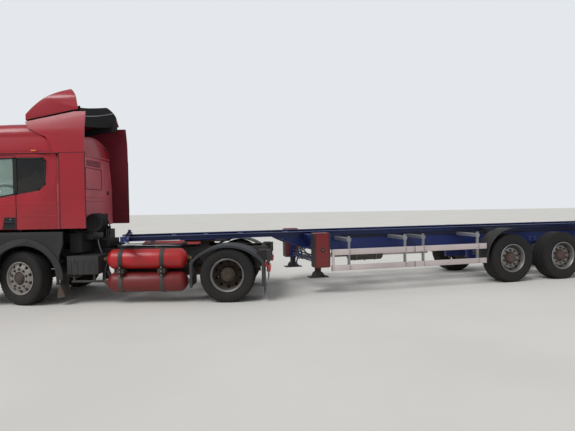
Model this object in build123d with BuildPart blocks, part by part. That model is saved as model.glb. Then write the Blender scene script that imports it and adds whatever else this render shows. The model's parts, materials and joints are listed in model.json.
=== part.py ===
# Articulated lorry: two-axle tractor unit with a three-axle skeletal container trailer.
# Millimetres, +Z up. The tractor faces -X and its left side is at -Y.
# Pieces are modelled from the kingpin axis at x = 0, y = 0, then moved so that the
# origin is under the middle of the parked lorry.
from build123d import *
from math import cos, radians, sin
import os

os.makedirs("parts", exist_ok=True)

# How it is parked
trailer_swing = 15.3
steer_turn = -17.7

# Tractor layout, rearwards from the kingpin axis
front_axle_x = -3100
wheelbase = 3650
drive_axle_x = front_axle_x + wheelbase
nose_x = -4500
tractor_tail_x = 1250
cab_half_width = 1240

# Trailer layout, in the trailer's own straight frame
trailer_front_x = -1650
trailer_axle_x = 6380
trailer_axle_gap = 1310
trailer_tail_x = 10600
trailer_half_width = 1220
bolster_front_x = -1600
bolster_length = 120
bolster_reach_y = 1190

# Tyres and rims
tyre_radius = 495
tyre_width = 312
wide_tyre_radius = 520
wide_tyre_width = 382
rim_radius = 285
rim_lip_radius = 300
bead_gap = 0.3
front_tyre_face_y = 1200
drive_tyre_face_y = 1225
trailer_tyre_face_y = 1205
twin_gap = 32
hub_bore = 40
bearing_gap = 0.05
seat_gap = 0.3

# Tractor frame
rail_outer_y = 385
rail_flange = 80
rail_wall = 9
rail_height = 270
rail_top_z = 950
rail_front_x = -4180
rail_bottom_z = rail_top_z - rail_height
web_inner_y = rail_outer_y - rail_wall

# Coupling
plate_z = 1100
kingpin_radius = 25.4
kingpin_length = 84
fifth_wheel_thick = 45

# Cab
cab_bottom_z = 1380
cab_front_x = -4460
cab_front_bottom_z = 1000
cab_rear_x = -2270
cab_wall = 60
gutter_z = 2745
roof_z = 3290
skirt_gap = 50
fender_top_z = cab_bottom_z - skirt_gap
tilt_x = cab_front_x + 20
tilt_z = cab_front_bottom_z - 20
tilt_pin_radius = 10
tilt_eye_radius = 18
tilt_eye_y = 345
tilt_lug_width = 30
tilt_ear_width = 15
bumper_top_z = cab_front_bottom_z - 50

# Where the origin is
swing_sin = sin(radians(trailer_swing))
swing_cos = cos(radians(trailer_swing))
lorry_back_x = trailer_tail_x * swing_cos + trailer_half_width * swing_sin
lorry_far_y = trailer_tail_x * swing_sin + trailer_half_width * swing_cos
lorry_near_y = bolster_front_x * swing_sin - bolster_reach_y * swing_cos
origin_x = (nose_x + lorry_back_x) / 2
origin_y = (lorry_far_y + lorry_near_y) / 2

tractor_place = Location((-origin_x, -origin_y, 0))
trailer_place = Location((-origin_x, -origin_y, 0), (0, 0, trailer_swing))


def write(piece, name, place):
    """Puts a finished piece in its place on the lorry and writes it."""
    piece.part = piece.part.moved(place)
    piece.part.label = name
    export_step(piece.part, f"parts/{name}.step")


def across(y):
    """A plane seen from the left side, x to the right and z up, at this y."""
    return Plane.XZ.offset(-y)


# Frame rails: a channel each side, open inwards
with BuildPart() as rails:
    rail_length = tractor_tail_x - rail_front_x
    with BuildSketch(Plane.YZ.offset(rail_front_x)):
        with Locations((rail_outer_y, rail_top_z)):
            Rectangle(rail_flange, rail_height, align=(Align.MAX, Align.MAX))
        with Locations((rail_outer_y - rail_wall, rail_top_z - rail_wall)):
            Rectangle(
                rail_flange,
                rail_height - 2 * rail_wall,
                align=(Align.MAX, Align.MAX),
                mode=Mode.SUBTRACT,
            )
    extrude(amount=rail_length)
    mirror(about=Plane.XZ)
write(rails, "tractor_rails", tractor_place)

# Cross members between the webs: x of the middle, bottom z
member_width = 70
member_top_z = rail_top_z - rail_wall - 1
cross_members = [(rail_front_x + 45, 700), (-1750, 740), (-1000, 740), (-150, 740), (1150, 700)]
with BuildPart() as members:
    for member_x, member_bottom_z in cross_members:
        with BuildSketch(Plane.XY.offset(member_bottom_z)):
            with Locations((member_x, 0)):
                Rectangle(member_width, 2 * web_inner_y)
        extrude(amount=member_top_z - member_bottom_z)

# Engine with its gearbox, one plain mass
engine_front_x = -3950
engine_back_x = -2750
engine_half_width = 295
engine_bottom_z = 560
engine_top_z = 1290
engine_mount_z = 760
gearbox_back_x = -1900
gearbox_z = 700
with BuildPart() as engine:
    with BuildSketch(Plane.XY.offset(engine_bottom_z)):
        with Locations((engine_front_x, 0)):
            Rectangle(
                engine_back_x - engine_front_x,
                2 * engine_half_width,
                align=(Align.MIN, Align.CENTER),
            )
    extrude(amount=engine_top_z - engine_bottom_z)
    with BuildSketch(Plane.YZ.offset(engine_back_x)):
        with Locations((0, gearbox_z)):
            Circle(215)
    extrude(amount=gearbox_back_x - engine_back_x, taper=6)
    for mount_x in (engine_front_x + 200, engine_back_x - 200):
        with BuildSketch(Plane.XY.offset(engine_mount_z)):
            with Locations((mount_x, 0)):
                Rectangle(120, 2 * web_inner_y)
        extrude(amount=80)
write(engine, "engine", tractor_place)

# Front axle: a dropped beam that ends in an upright boss each side
pivot_y = 860
beam_half_width = 50
boss_radius = 50
boss_low_z = tyre_radius - 65
boss_high_z = tyre_radius + 65
pivot_radius = 25
with BuildPart() as front_axle:
    with BuildSketch(Plane.YZ.offset(front_axle_x - beam_half_width)):
        with BuildLine():
            Polyline(
                (0, 390), (560, 390), (700, boss_low_z), (pivot_y, boss_low_z),
                (pivot_y, boss_high_z), (700, boss_high_z), (560, 490), (0, 490), (0, 390),
            )
        make_face()
    extrude(amount=2 * beam_half_width)
    with BuildSketch(Plane.XY.offset(boss_low_z)):
        with Locations((front_axle_x, pivot_y)):
            Circle(boss_radius)
    extrude(amount=boss_high_z - boss_low_z)
    with BuildSketch(Plane.XY.offset(boss_low_z)):
        with Locations((front_axle_x, pivot_y)):
            Circle(pivot_radius + bearing_gap)
    extrude(amount=boss_high_z - boss_low_z, mode=Mode.SUBTRACT)
    mirror(about=Plane.XZ)
write(front_axle, "front_axle", tractor_place)

# Leaf springs: an arched pack each side, from a front hanger to a rear shackle
spring_y = rail_outer_y - rail_flange / 2
spring_half_span = 800
spring_eye_z = 625
spring_seat_z = 490
leaf_width = 75
pack_thick = 62
with BuildPart() as springs:
    with BuildSketch(across(spring_y + leaf_width / 2)):
        with BuildLine():
            low_arc = ThreePointArc(
                (front_axle_x - spring_half_span, spring_eye_z),
                (front_axle_x, spring_seat_z),
                (front_axle_x + spring_half_span, spring_eye_z),
            )
            Line(low_arc @ 1, (front_axle_x + spring_half_span, spring_eye_z + 30))
            ThreePointArc(
                (front_axle_x + spring_half_span, spring_eye_z + 30),
                (front_axle_x, spring_seat_z + pack_thick),
                (front_axle_x - spring_half_span, spring_eye_z + 30),
            )
            Line((front_axle_x - spring_half_span, spring_eye_z + 30), low_arc @ 0)
        make_face()
        for side in (-1, 1):
            with Locations((front_axle_x + side * (spring_half_span + 35), spring_eye_z - 45)):
                Rectangle(80, rail_bottom_z - spring_eye_z + 45, align=(Align.CENTER, Align.MIN))
    extrude(amount=leaf_width)
    mirror(about=Plane.XZ)

# Drive axle: a banjo housing with its tubes and the propeller shaft
axle_tube_radius = 75
spindle_radius = hub_bore - bearing_gap
banjo_radius = 220
drive_hub_depth = 155
with BuildPart() as drive_axle:
    with BuildSketch(across(-drive_tyre_face_y + drive_hub_depth)):
        with Locations((drive_axle_x, tyre_radius)):
            Circle(spindle_radius)
    extrude(amount=-2 * (drive_tyre_face_y - drive_hub_depth))
    with BuildSketch(across(-560)):
        with Locations((drive_axle_x, tyre_radius)):
            Circle(axle_tube_radius)
    extrude(amount=-2 * 560)
    with BuildSketch(across(-120)):
        with Locations((drive_axle_x, tyre_radius)):
            Circle(banjo_radius)
    extrude(amount=-2 * 120)
    with BuildSketch(Plane.YZ.offset(drive_axle_x - 330)):
        with Locations((0, tyre_radius)):
            Circle(110)
    extrude(amount=200)
    shaft_start = Vector(gearbox_back_x + 4, 0, gearbox_z - 60)
    shaft_end = Vector(drive_axle_x - 300, 0, tyre_radius)
    with BuildSketch(Plane(origin=shaft_start, z_dir=shaft_end - shaft_start)):
        Circle(55)
    extrude(amount=(shaft_end - shaft_start).length)
write(drive_axle, "drive_axle", tractor_place)

# Rear air springs on their trailing leaves, below each rail
bellows_radius = 120
bellows_low_z = 520
with BuildPart() as rear_springs:
    for bellows_x in (drive_axle_x - 430, drive_axle_x + 430):
        with BuildSketch(Plane.XY.offset(bellows_low_z)):
            with Locations((bellows_x, spring_y)):
                Circle(bellows_radius)
        extrude(amount=rail_bottom_z - bellows_low_z)
    with BuildSketch(across(spring_y + 40)):
        with Locations((drive_axle_x, bellows_low_z)):
            Rectangle(1120, 60, align=(Align.CENTER, Align.MAX))
        with Locations((drive_axle_x, tyre_radius)):
            Circle(axle_tube_radius, mode=Mode.SUBTRACT)
    extrude(amount=80)
    mirror(about=Plane.XZ)
    add(springs)
write(rear_springs, "tractor_suspension", tractor_place)

# Fifth wheel: a horseshoe plate on a saddle that stands on the rails
wheel_plate_length = 920
wheel_plate_width = 900
plate_top_z = plate_z - seat_gap
wheel_low_z = plate_top_z - fifth_wheel_thick
throat_half_width = 55
with BuildPart() as fifth_wheel:
    with BuildSketch(Plane.XY.offset(wheel_low_z)):
        with Locations((70, 0)):
            RectangleRounded(wheel_plate_length, wheel_plate_width, 210)
        with BuildLine():
            Polyline(
                (0, throat_half_width), (250, 90), (560, 330), (560, -330),
                (250, -90), (0, -throat_half_width), (0, throat_half_width),
            )
        make_face(mode=Mode.SUBTRACT)
        Circle(throat_half_width, mode=Mode.SUBTRACT)
    extrude(amount=fifth_wheel_thick)
    with BuildSketch(Plane.XY.offset(rail_top_z)):
        with Locations((20, 0)):
            Rectangle(420, 2 * rail_outer_y)
        with Locations((20, 0)):
            Rectangle(280, 2 * rail_outer_y - 240, mode=Mode.SUBTRACT)
    extrude(amount=20)
    with BuildSketch(Plane.XY.offset(rail_top_z + 20)):
        with Locations((20, 330), (20, -330)):
            Rectangle(170, 90)
    extrude(amount=wheel_low_z - rail_top_z - 20)
    with BuildSketch(Plane.XY.offset(wheel_low_z)):
        Circle(throat_half_width + 60)
        with Locations((0, 0)):
            Circle(kingpin_radius + bearing_gap, mode=Mode.SUBTRACT)
    extrude(amount=-30)
write(fifth_wheel, "fifth_wheel", tractor_place)

# Cab: the meeting of a side, a plan and a front outline, made hollow and split at the joints
screen_base = (-4440, 1950)
screen_top = (-4120, 2800)
corner_x = -4180
deflector_start_x = -2410
deflector_set_in = 40
roof_half_width = cab_half_width - 26

# The cab narrows and lowers towards its back: half outlines seen from behind, by x
rear_form_x = -2900
rear_sections = {
    cab_rear_x: [(0, 3146), (410, 3095), (826, 2924), (900, 2795), (1050, 2165), (1050, 900)],
    cab_rear_x - 180: [(0, 3200), (480, 3160), (1000, 3040), (1150, 2900), (1240, 2165), (1240, 900)],
    rear_form_x: [(0, 3300), (560, 3300), (1130, 3300), (1250, 3100), (1250, 2165), (1250, 900)],
}


def rear_form(inset):
    """What the narrowing leaves of the cab's back, with all of the space ahead of it."""
    with BuildPart() as form:
        for section_x, half in rear_sections.items():
            with BuildSketch(Plane.YZ.offset(section_x)):
                with BuildLine():
                    Polyline(*half, *[(-y, z) for y, z in reversed(half[1:])], close=True)
                make_face()
                offset(amount=-inset, kind=Kind.INTERSECTION)
        loft(ruled=True)
        with BuildSketch(Plane.YZ.offset(rear_form_x)):
            Rectangle(2 * cab_half_width + 200, 2 * roof_z + 200)
        extrude(amount=-2000)
    return form.part


def cab_body(inset):
    """The cab's outer form, drawn in from its surface by this much."""
    with BuildPart() as body:
        with BuildSketch(across(cab_half_width)):
            with BuildLine():
                roof_arc = ThreePointArc(screen_top, (-3880, 3130), (-3520, roof_z - 20))
                Polyline(
                    roof_arc @ 1, (-3100, roof_z), (cab_rear_x, roof_z), (cab_rear_x, cab_bottom_z),
                    (cab_front_x + 200, cab_bottom_z), (cab_front_x + 200, cab_front_bottom_z),
                    (cab_front_x, cab_front_bottom_z), (cab_front_x, 1500), screen_base, screen_top,
                )
            make_face()
            offset(amount=-inset, kind=Kind.INTERSECTION)
        extrude(amount=2 * cab_half_width)
        with BuildSketch(Plane.XY.offset(cab_front_bottom_z)):
            with BuildLine():
                ThreePointArc(
                    (cab_front_x + 60, -1020), (cab_front_x, 0), (cab_front_x + 60, 1020)
                )
                for side in (-1, 1):
                    ThreePointArc(
                        (cab_front_x + 60, side * 1020),
                        (cab_front_x + 125, side * 1165),
                        (corner_x, side * cab_half_width),
                    )
                    Polyline(
                        (corner_x, side * cab_half_width),
                        (deflector_start_x, side * cab_half_width),
                        (deflector_start_x, side * (cab_half_width - deflector_set_in)),
                        (cab_rear_x - 90, side * (cab_half_width - deflector_set_in)),
                        (cab_rear_x, side * (cab_half_width - deflector_set_in - 130)),
                    )
                Line(
                    (cab_rear_x, deflector_set_in + 130 - cab_half_width),
                    (cab_rear_x, cab_half_width - deflector_set_in - 130),
                )
            make_face()
            offset(amount=-inset, kind=Kind.INTERSECTION)
        extrude(amount=roof_z, mode=Mode.INTERSECT)
        with BuildSketch(Plane.YZ.offset(cab_front_x - 50)):
            with BuildLine():
                for side in (-1, 1):
                    Polyline(
                        (0, cab_front_bottom_z), (side * cab_half_width, cab_front_bottom_z),
                        (side * cab_half_width, gutter_z), (side * roof_half_width, gutter_z),
                        (side * (roof_half_width - 24), 3050),
                    )
                    ThreePointArc(
                        (side * (roof_half_width - 24), 3050), (side * 1140, 3225),
                        (side * 1000, roof_z),
                    )
                    Line((side * 1000, roof_z), (0, roof_z))
            make_face()
            offset(amount=-inset, kind=Kind.INTERSECTION)
        extrude(amount=2400, mode=Mode.INTERSECT)
        add(rear_form(inset), mode=Mode.INTERSECT)
    return body.part


cab_outside = cab_body(0)
cab_inside = cab_body(cab_wall)
glass_outside = cab_body(6)
glass_inside = cab_body(14)

# Door outline and the window outlines, from the front edge round
door_gap = 10
door_front_x = -4187
door_back_x = -3198
door_low_z = cab_bottom_z + 6
door_high_z = gutter_z - 45
door_rake_z = 1990
door_rake_x = 227
pillar_rake_z = door_rake_z + 40
door_outline = [
    (door_front_x, door_low_z), (door_front_x, door_rake_z),
    (door_front_x + door_rake_x, door_high_z), (door_back_x, door_high_z), (door_back_x, door_low_z),
]
window_top_z = 2655
door_window = [
    (-4125, 1940), (-3918, window_top_z - 15), (door_back_x - 24, window_top_z),
    (door_back_x - 24, 2015), (-3500, 1965),
]
quarter_window = [
    (door_back_x + 20, window_top_z), (-2700, window_top_z - 5), (-2660, 2610), (-2665, 2190),
    (-2770, 2090), (door_back_x + 20, 2022),
]
screen_half_width = 1065
screen_low_z = 1985
screen_high_z = 2690
front_zone = [
    (-4700, 900), (door_front_x - door_gap, 900), (door_front_x - door_gap, pillar_rake_z),
    (door_front_x + door_rake_x - 7, door_high_z + door_gap), (door_front_x + door_rake_x + 4, gutter_z),
    (-4700, gutter_z),
]


def side_prism(outline, y_from, y_to):
    """A prism with this side outline between two y values, for cutting the shell."""
    with BuildPart() as prism:
        with BuildSketch(across(y_to)):
            with BuildLine():
                Polyline(*outline, close=True)
            make_face()
        extrude(amount=y_to - y_from)
    return prism.part


def block(x_range, y_range, z_range):
    """A box between these limits, for cutting the shell."""
    with BuildPart() as solid:
        with BuildSketch(Plane.XY.offset(z_range[0])):
            with Locations(((x_range[0] + x_range[1]) / 2, (y_range[0] + y_range[1]) / 2)):
                Rectangle(x_range[1] - x_range[0], y_range[1] - y_range[0])
        extrude(amount=z_range[1] - z_range[0])
    return solid.part


all_y = (-1400, 1400)
inner_y = cab_half_width - cab_wall
floor_half_width = inner_y - 5
rear_zone_x = deflector_start_x - cab_wall
front_prism = side_prism(front_zone, *all_y)
side_blocks = {
    "left": block((-4600, -2000), (-1400, -inner_y), (900, gutter_z)),
    "right": block((-4600, -2000), (inner_y, 1400), (900, gutter_z)),
}
door_opening = side_prism(
    [
        (door_front_x - door_gap, 900), (door_front_x - door_gap, pillar_rake_z),
        (door_front_x + door_rake_x - 7, door_high_z + door_gap),
        (door_back_x + door_gap, door_high_z + door_gap), (door_back_x + door_gap, 900),
    ],
    *all_y,
)
door_prism = side_prism(door_outline, *all_y)
door_window_prism = side_prism(door_window, *all_y)
quarter_prism = side_prism(quarter_window, *all_y)
screen_block = block((-4700, -4050), (-screen_half_width, screen_half_width), (screen_low_z, screen_high_z))

# Door hinges: upright pins near the door's front edge, one below and one in the raked pillar
hinge_x = door_front_x + 12
hinge_y = cab_half_width - 10
hinge_pin_radius = 6
hinge_low_z = cab_bottom_z - 25
hinge_pin_length = 40

# Lower front: grille slots low down, and the panel that the windscreen stands on
grille_half_width = 780
grille_slots = [1120 + 75 * row for row in range(7)]
grille_slot_height = 42
with BuildPart() as cab_front:
    add(cab_outside)
    add(cab_inside, mode=Mode.SUBTRACT)
    add(front_prism, mode=Mode.INTERSECT)
    add(screen_block, mode=Mode.SUBTRACT)
    for slot_z in grille_slots:
        with BuildSketch(Plane.YZ.offset(cab_front_x - 50)):
            with Locations((0, slot_z)):
                SlotOverall(2 * grille_half_width, grille_slot_height)
        extrude(amount=85, mode=Mode.SUBTRACT)
    for side in (-1, 1):
        with BuildSketch(Plane.XY.offset(hinge_low_z)):
            with Locations((door_front_x - 30, side * (hinge_y - 12))):
                Rectangle(80, 40)
        extrude(amount=20)
        with BuildSketch(Plane.XY.offset(hinge_low_z + 20)):
            with Locations((door_front_x - 40, side * (hinge_y - 12))):
                Rectangle(60 - 2 * door_gap, 40)
        extrude(amount=20)
        with BuildSketch(Plane.XY.offset(hinge_low_z + 20)):
            with Locations((hinge_x, side * hinge_y)):
                Circle(hinge_pin_radius)
        extrude(amount=hinge_pin_length)
        with BuildSketch(Plane.XY.offset(door_rake_z - 40)):
            with Locations((hinge_x, side * hinge_y)):
                Circle(hinge_pin_radius)
        extrude(amount=165)
        with BuildSketch(across(side * tilt_eye_y + tilt_lug_width / 2)):
            with Locations((tilt_x, tilt_z)):
                Circle(tilt_eye_radius)
                Rectangle(2 * tilt_eye_radius, 30, align=(Align.CENTER, Align.MIN))
        extrude(amount=tilt_lug_width)
        with BuildSketch(across(side * tilt_eye_y + tilt_lug_width / 2 + tilt_ear_width)):
            with Locations((tilt_x, tilt_z)):
                Circle(tilt_pin_radius - bearing_gap)
        extrude(amount=tilt_lug_width + 2 * tilt_ear_width)
write(cab_front, "cab_front", tractor_place)

with BuildPart() as cab_sides:
    add(cab_outside)
    add(cab_inside, mode=Mode.SUBTRACT)
    add(block((-4600, rear_zone_x), all_y, (900, gutter_z)), mode=Mode.INTERSECT)
    add(block((-4600, -2000), (-inner_y, inner_y), (900, gutter_z)), mode=Mode.SUBTRACT)
    add(front_prism, mode=Mode.SUBTRACT)
    add(door_opening, mode=Mode.SUBTRACT)
    add(quarter_prism, mode=Mode.SUBTRACT)
write(cab_sides, "cab_sides", tractor_place)

with BuildPart() as cab_rear:
    add(cab_outside)
    add(cab_inside, mode=Mode.SUBTRACT)
    add(block((rear_zone_x, -2000), all_y, (900, gutter_z)), mode=Mode.INTERSECT)
write(cab_rear, "cab_rear", tractor_place)

with BuildPart() as cab_roof:
    add(cab_outside)
    add(cab_inside, mode=Mode.SUBTRACT)
    add(block((-4700, -2000), all_y, (gutter_z, roof_z + 50)), mode=Mode.INTERSECT)
write(cab_roof, "cab_roof", tractor_place)

with BuildPart() as cab_floor:
    add(cab_outside)
    add(cab_inside, mode=Mode.SUBTRACT)
    add(block((-4600, rear_zone_x), (-floor_half_width, floor_half_width), (900, 1500)), mode=Mode.INTERSECT)
    add(front_prism, mode=Mode.SUBTRACT)
write(cab_floor, "cab_floor", tractor_place)

# Fixed glass: the windscreen and the dark quarter windows
with BuildPart() as windscreen:
    add(glass_outside)
    add(glass_inside, mode=Mode.SUBTRACT)
    add(screen_block, mode=Mode.INTERSECT)
write(windscreen, "windscreen", tractor_place)

with BuildPart() as quarter_windows:
    add(glass_outside)
    add(glass_inside, mode=Mode.SUBTRACT)
    add(quarter_prism, mode=Mode.INTERSECT)
write(quarter_windows, "quarter_windows", tractor_place)

# Doors with their glass and mirrors
mirror_reach_y = 1450
for side_name, side in (("left", -1), ("right", 1)):
    with BuildPart() as door:
        add(cab_outside)
        add(cab_inside, mode=Mode.SUBTRACT)
        add(side_blocks[side_name], mode=Mode.INTERSECT)
        add(door_prism, mode=Mode.INTERSECT)
        add(door_window_prism, mode=Mode.SUBTRACT)
        with BuildSketch(Plane.XY.offset(cab_bottom_z)):
            with Locations((hinge_x, side * hinge_y)):
                Circle(hinge_pin_radius + bearing_gap)
        extrude(amount=hinge_low_z + 20 + hinge_pin_length + 2 - cab_bottom_z, mode=Mode.SUBTRACT)
        with BuildSketch(Plane.XY.offset(door_rake_z - 42)):
            with Locations((hinge_x, side * hinge_y)):
                Circle(hinge_pin_radius + bearing_gap)
        extrude(amount=130, mode=Mode.SUBTRACT)
    write(door, f"door_{side_name}", tractor_place)
    with BuildPart() as door_glass:
        add(glass_outside)
        add(glass_inside, mode=Mode.SUBTRACT)
        add(side_blocks[side_name], mode=Mode.INTERSECT)
        add(door_window_prism, mode=Mode.INTERSECT)
    write(door_glass, f"door_glass_{side_name}", tractor_place)
    with BuildPart() as mirror_piece:
        with BuildSketch(Plane.XY.offset(2040)):
            with Locations((door_front_x + 97, side * (mirror_reach_y - 90))):
                RectangleRounded(120, 180, 40)
        extrude(amount=520)
        with BuildSketch(Plane.XY.offset(1890)):
            with Locations((door_front_x + 60, side * (cab_half_width + 50))):
                Rectangle(30, 100)
        extrude(amount=30)
        with BuildSketch(Plane.XY.offset(1890)):
            with Locations((door_front_x + 60, side * (cab_half_width + 85))):
                Rectangle(30, 30)
        extrude(amount=150)
        with BuildSketch(Plane.XY.offset(2470)):
            with Locations((door_front_x + 174, side * (cab_half_width + 35))):
                Rectangle(75, 70)
        extrude(amount=30)
    write(mirror_piece, f"mirror_{side_name}", tractor_place)

# Seats and bunk, and the dashboard with its steering wheel
floor_z = cab_bottom_z + cab_wall
seat_y = 620
seat_half_width = 250
bunk_half_width = 1030
bunk_back_x = cab_rear_x - cab_wall - seat_gap
with BuildPart() as seats:
    for seat_middle in (-seat_y, seat_y):
        with BuildSketch(across(seat_middle + seat_half_width)):
            with BuildLine():
                Polyline(
                    (-3560, floor_z), (-3240, floor_z), (-3240, 1720), (-3120, 1760), (-2990, 2440),
                    (-3110, 2470), (-3260, 1880), (-3720, 1890), (-3720, 1750), (-3560, 1720),
                    close=True,
                )
            make_face()
        extrude(amount=2 * seat_half_width)
    with BuildSketch(across(bunk_half_width)):
        with BuildLine():
            Polyline(
                (-2900, floor_z), (bunk_back_x, floor_z), (bunk_back_x, 1930),
                (-2930, 1930), (-2930, 1800), (-2900, 1780), close=True,
            )
        make_face()
    extrude(amount=2 * bunk_half_width)
write(seats, "seats", tractor_place)

with BuildPart() as dashboard:
    with BuildSketch(across(1000)):
        with BuildLine():
            Polyline(
                (-4290, 1700), (-4290, 1930), (-4050, 1950), (-3930, 1850), (-3950, 1650),
                (-4100, floor_z), (-4190, floor_z), close=True,
            )
        make_face()
    extrude(amount=2000)
    wheel_plane = Plane(origin=(-3870, -seat_y, 2080), z_dir=(0.6, 0, 0.8))
    with BuildSketch(wheel_plane):
        Circle(225)
        Circle(195, mode=Mode.SUBTRACT)
        Rectangle(400, 50)
        Circle(75)
    extrude(amount=30)
    with BuildSketch(wheel_plane):
        Circle(35)
    extrude(amount=-230)
write(dashboard, "dashboard", tractor_place)

# Roof deflector: a hood, open below, on a bar with two feet
deflector_tip = (-3200, 3345)
deflector_back_x = -2150
hood_wall = 25
hood_corner_x = -3090
hood_front_half_width = 1030
hood_back_half_width = 1110
hood_scoop_x = -2620


def hood(inset):
    """The hood's outer form, drawn in from its surface by this much."""
    with BuildPart() as body:
        with BuildSketch(across(1200)):
            with BuildLine():
                crown = ThreePointArc(deflector_tip, (-2790, 3722), (-2220, 3963))
                Polyline(
                    crown @ 1, (deflector_back_x + 60, 3680), (deflector_back_x + 70, 3542),
                    deflector_tip,
                )
            make_face()
            offset(amount=-inset, kind=Kind.INTERSECTION)
        extrude(amount=2400)
        with BuildSketch(Plane.XY.offset(3300)):
            with BuildLine():
                ThreePointArc(
                    (hood_corner_x, -hood_front_half_width), (deflector_tip[0], 0),
                    (hood_corner_x, hood_front_half_width),
                )
                for side in (-1, 1):
                    Line(
                        (hood_corner_x, side * hood_front_half_width),
                        (deflector_back_x + 70, side * hood_back_half_width),
                    )
                ThreePointArc(
                    (deflector_back_x + 70, -hood_back_half_width), (hood_scoop_x, 0),
                    (deflector_back_x + 70, hood_back_half_width),
                )
            make_face()
            offset(amount=-inset, kind=Kind.INTERSECTION)
        extrude(amount=800, mode=Mode.INTERSECT)
        with BuildSketch(Plane.YZ.offset(-3300)):
            with BuildLine():
                for side in (-1, 1):
                    Polyline((0, 3300), (side * 1150, 3300), (side * 1070, 3700))
                    ThreePointArc((side * 1070, 3700), (side * 990, 3880), (side * 800, 3980))
                    Line((side * 800, 3980), (0, 3980))
            make_face()
            offset(amount=-inset, kind=Kind.INTERSECTION)
        extrude(amount=1400, mode=Mode.INTERSECT)
    return body.part


hood_rest_x = -3000
hood_rest_length = 120
hood_bar_z = 3415
with BuildPart() as roof_deflector:
    add(hood(0))
    add(hood(hood_wall), mode=Mode.SUBTRACT)
    add(hood(hood_wall).moved(Location((0, 0, -2 * hood_wall))), mode=Mode.SUBTRACT)
    with BuildSketch(Plane.XY.offset(hood_bar_z)):
        with Locations((hood_rest_x, 0)):
            Rectangle(hood_rest_length, 2 * (hood_front_half_width - 4))
    extrude(amount=30)
    with BuildSketch(Plane.XY.offset(roof_z)):
        with Locations((hood_rest_x, -600), (hood_rest_x, 600)):
            Rectangle(hood_rest_length, 40)
    extrude(amount=hood_bar_z - roof_z)
write(roof_deflector, "roof_deflector", tractor_place)

# Side deflectors: flush with the cab side below, leaning in with the roof above
panel_thick = 25
fairing_section = [
    (cab_half_width, cab_bottom_z + 5), (cab_half_width, gutter_z + 15), (1225, 3050), (1214, 3185),
    (1112, 3560),
]
deflector_end_x = -1955
fairing_outline = [
    (deflector_start_x + 4, cab_bottom_z + 5), (deflector_end_x, cab_bottom_z + 5),
    (deflector_end_x, 3490), (deflector_back_x, 3492), (-3025, 3312), (-2960, 3190), (-2790, 3098),
    (-2650, 3035), (-2560, 2910), (-2500, gutter_z + 2), (deflector_start_x + 4, gutter_z + 2),
]
with BuildPart() as side_deflectors:
    with BuildSketch(Plane.YZ.offset(-3300)):
        with BuildLine():
            Polyline(
                *fairing_section, *[(y - panel_thick, z) for y, z in reversed(fairing_section)],
                close=True,
            )
        make_face()
    extrude(amount=1400)
    add(side_prism(fairing_outline, 0, 1400), mode=Mode.INTERSECT)
    with BuildSketch(Plane.XY.offset(cab_bottom_z + 120)):
        with Locations((deflector_start_x + 45, cab_half_width - 10)):
            Rectangle(70, 130, align=(Align.CENTER, Align.MAX))
    extrude(amount=600)
    add(cab_body(-seat_gap), mode=Mode.SUBTRACT)
    mirror(about=Plane.XZ)
write(side_deflectors, "side_deflectors", tractor_place)

# Bumper across the nose, stood off the rail ends, with a lamp pocket each side
bumper_low_z = 330
bumper_depth = 250
lamp_y = 960
lamp_width = 300
lamp_low_z = 640
lamp_height = 190
lamp_depth = 125
lamp_thick = 42
bumper_hollow = 110
with BuildPart() as bumper:
    with BuildSketch(Plane.XY.offset(bumper_low_z)):
        with BuildLine():
            ThreePointArc((nose_x + 70, -1040), (nose_x, 0), (nose_x + 70, 1040))
            for side in (-1, 1):
                ThreePointArc(
                    (nose_x + 70, side * 1040), (nose_x + 120, side * 1180),
                    (nose_x + bumper_depth, side * 1240),
                )
            Line((nose_x + bumper_depth, -1240), (nose_x + bumper_depth, 1240))
        make_face()
    extrude(amount=bumper_top_z - bumper_low_z)
    with BuildSketch(Plane.XY.offset(bumper_low_z)):
        with Locations((nose_x + bumper_depth, 0)):
            Rectangle(bumper_hollow, 2 * 1180, align=(Align.MAX, Align.CENTER))
    extrude(amount=bumper_top_z - bumper_low_z - 40, mode=Mode.SUBTRACT)
    for side in (-1, 1):
        with BuildSketch(Plane.YZ.offset(nose_x - 5)):
            with Locations((side * lamp_y, lamp_low_z + lamp_height / 2)):
                Rectangle(lamp_width, lamp_height)
        extrude(amount=lamp_depth + 5, mode=Mode.SUBTRACT)
        with BuildSketch(Plane.YZ.offset(nose_x + 90)):
            with Locations((side * (rail_outer_y - 35), rail_top_z - rail_height / 2)):
                Rectangle(70, 160)
        extrude(amount=rail_front_x - nose_x - 90)
        for ear_side in (-1, 1):
            ear_y = side * tilt_eye_y + ear_side * (tilt_lug_width + tilt_ear_width + 2 * seat_gap) / 2
            with BuildSketch(across(ear_y + tilt_ear_width / 2)):
                with Locations((tilt_x, tilt_z)):
                    Circle(tilt_eye_radius)
                    Rectangle(2 * tilt_eye_radius, 60, align=(Align.CENTER, Align.MAX))
                with Locations((tilt_x, tilt_z)):
                    Circle(tilt_pin_radius, mode=Mode.SUBTRACT)
            extrude(amount=tilt_ear_width)
write(bumper, "bumper", tractor_place)

with BuildPart() as headlamps:
    for side in (-1, 1):
        with BuildSketch(Plane.YZ.offset(nose_x + lamp_depth)):
            with Locations((side * lamp_y, lamp_low_z + lamp_height / 2)):
                RectangleRounded(lamp_width - 2 * seat_gap, lamp_height - 2 * seat_gap, 30)
        extrude(amount=-lamp_thick)

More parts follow.
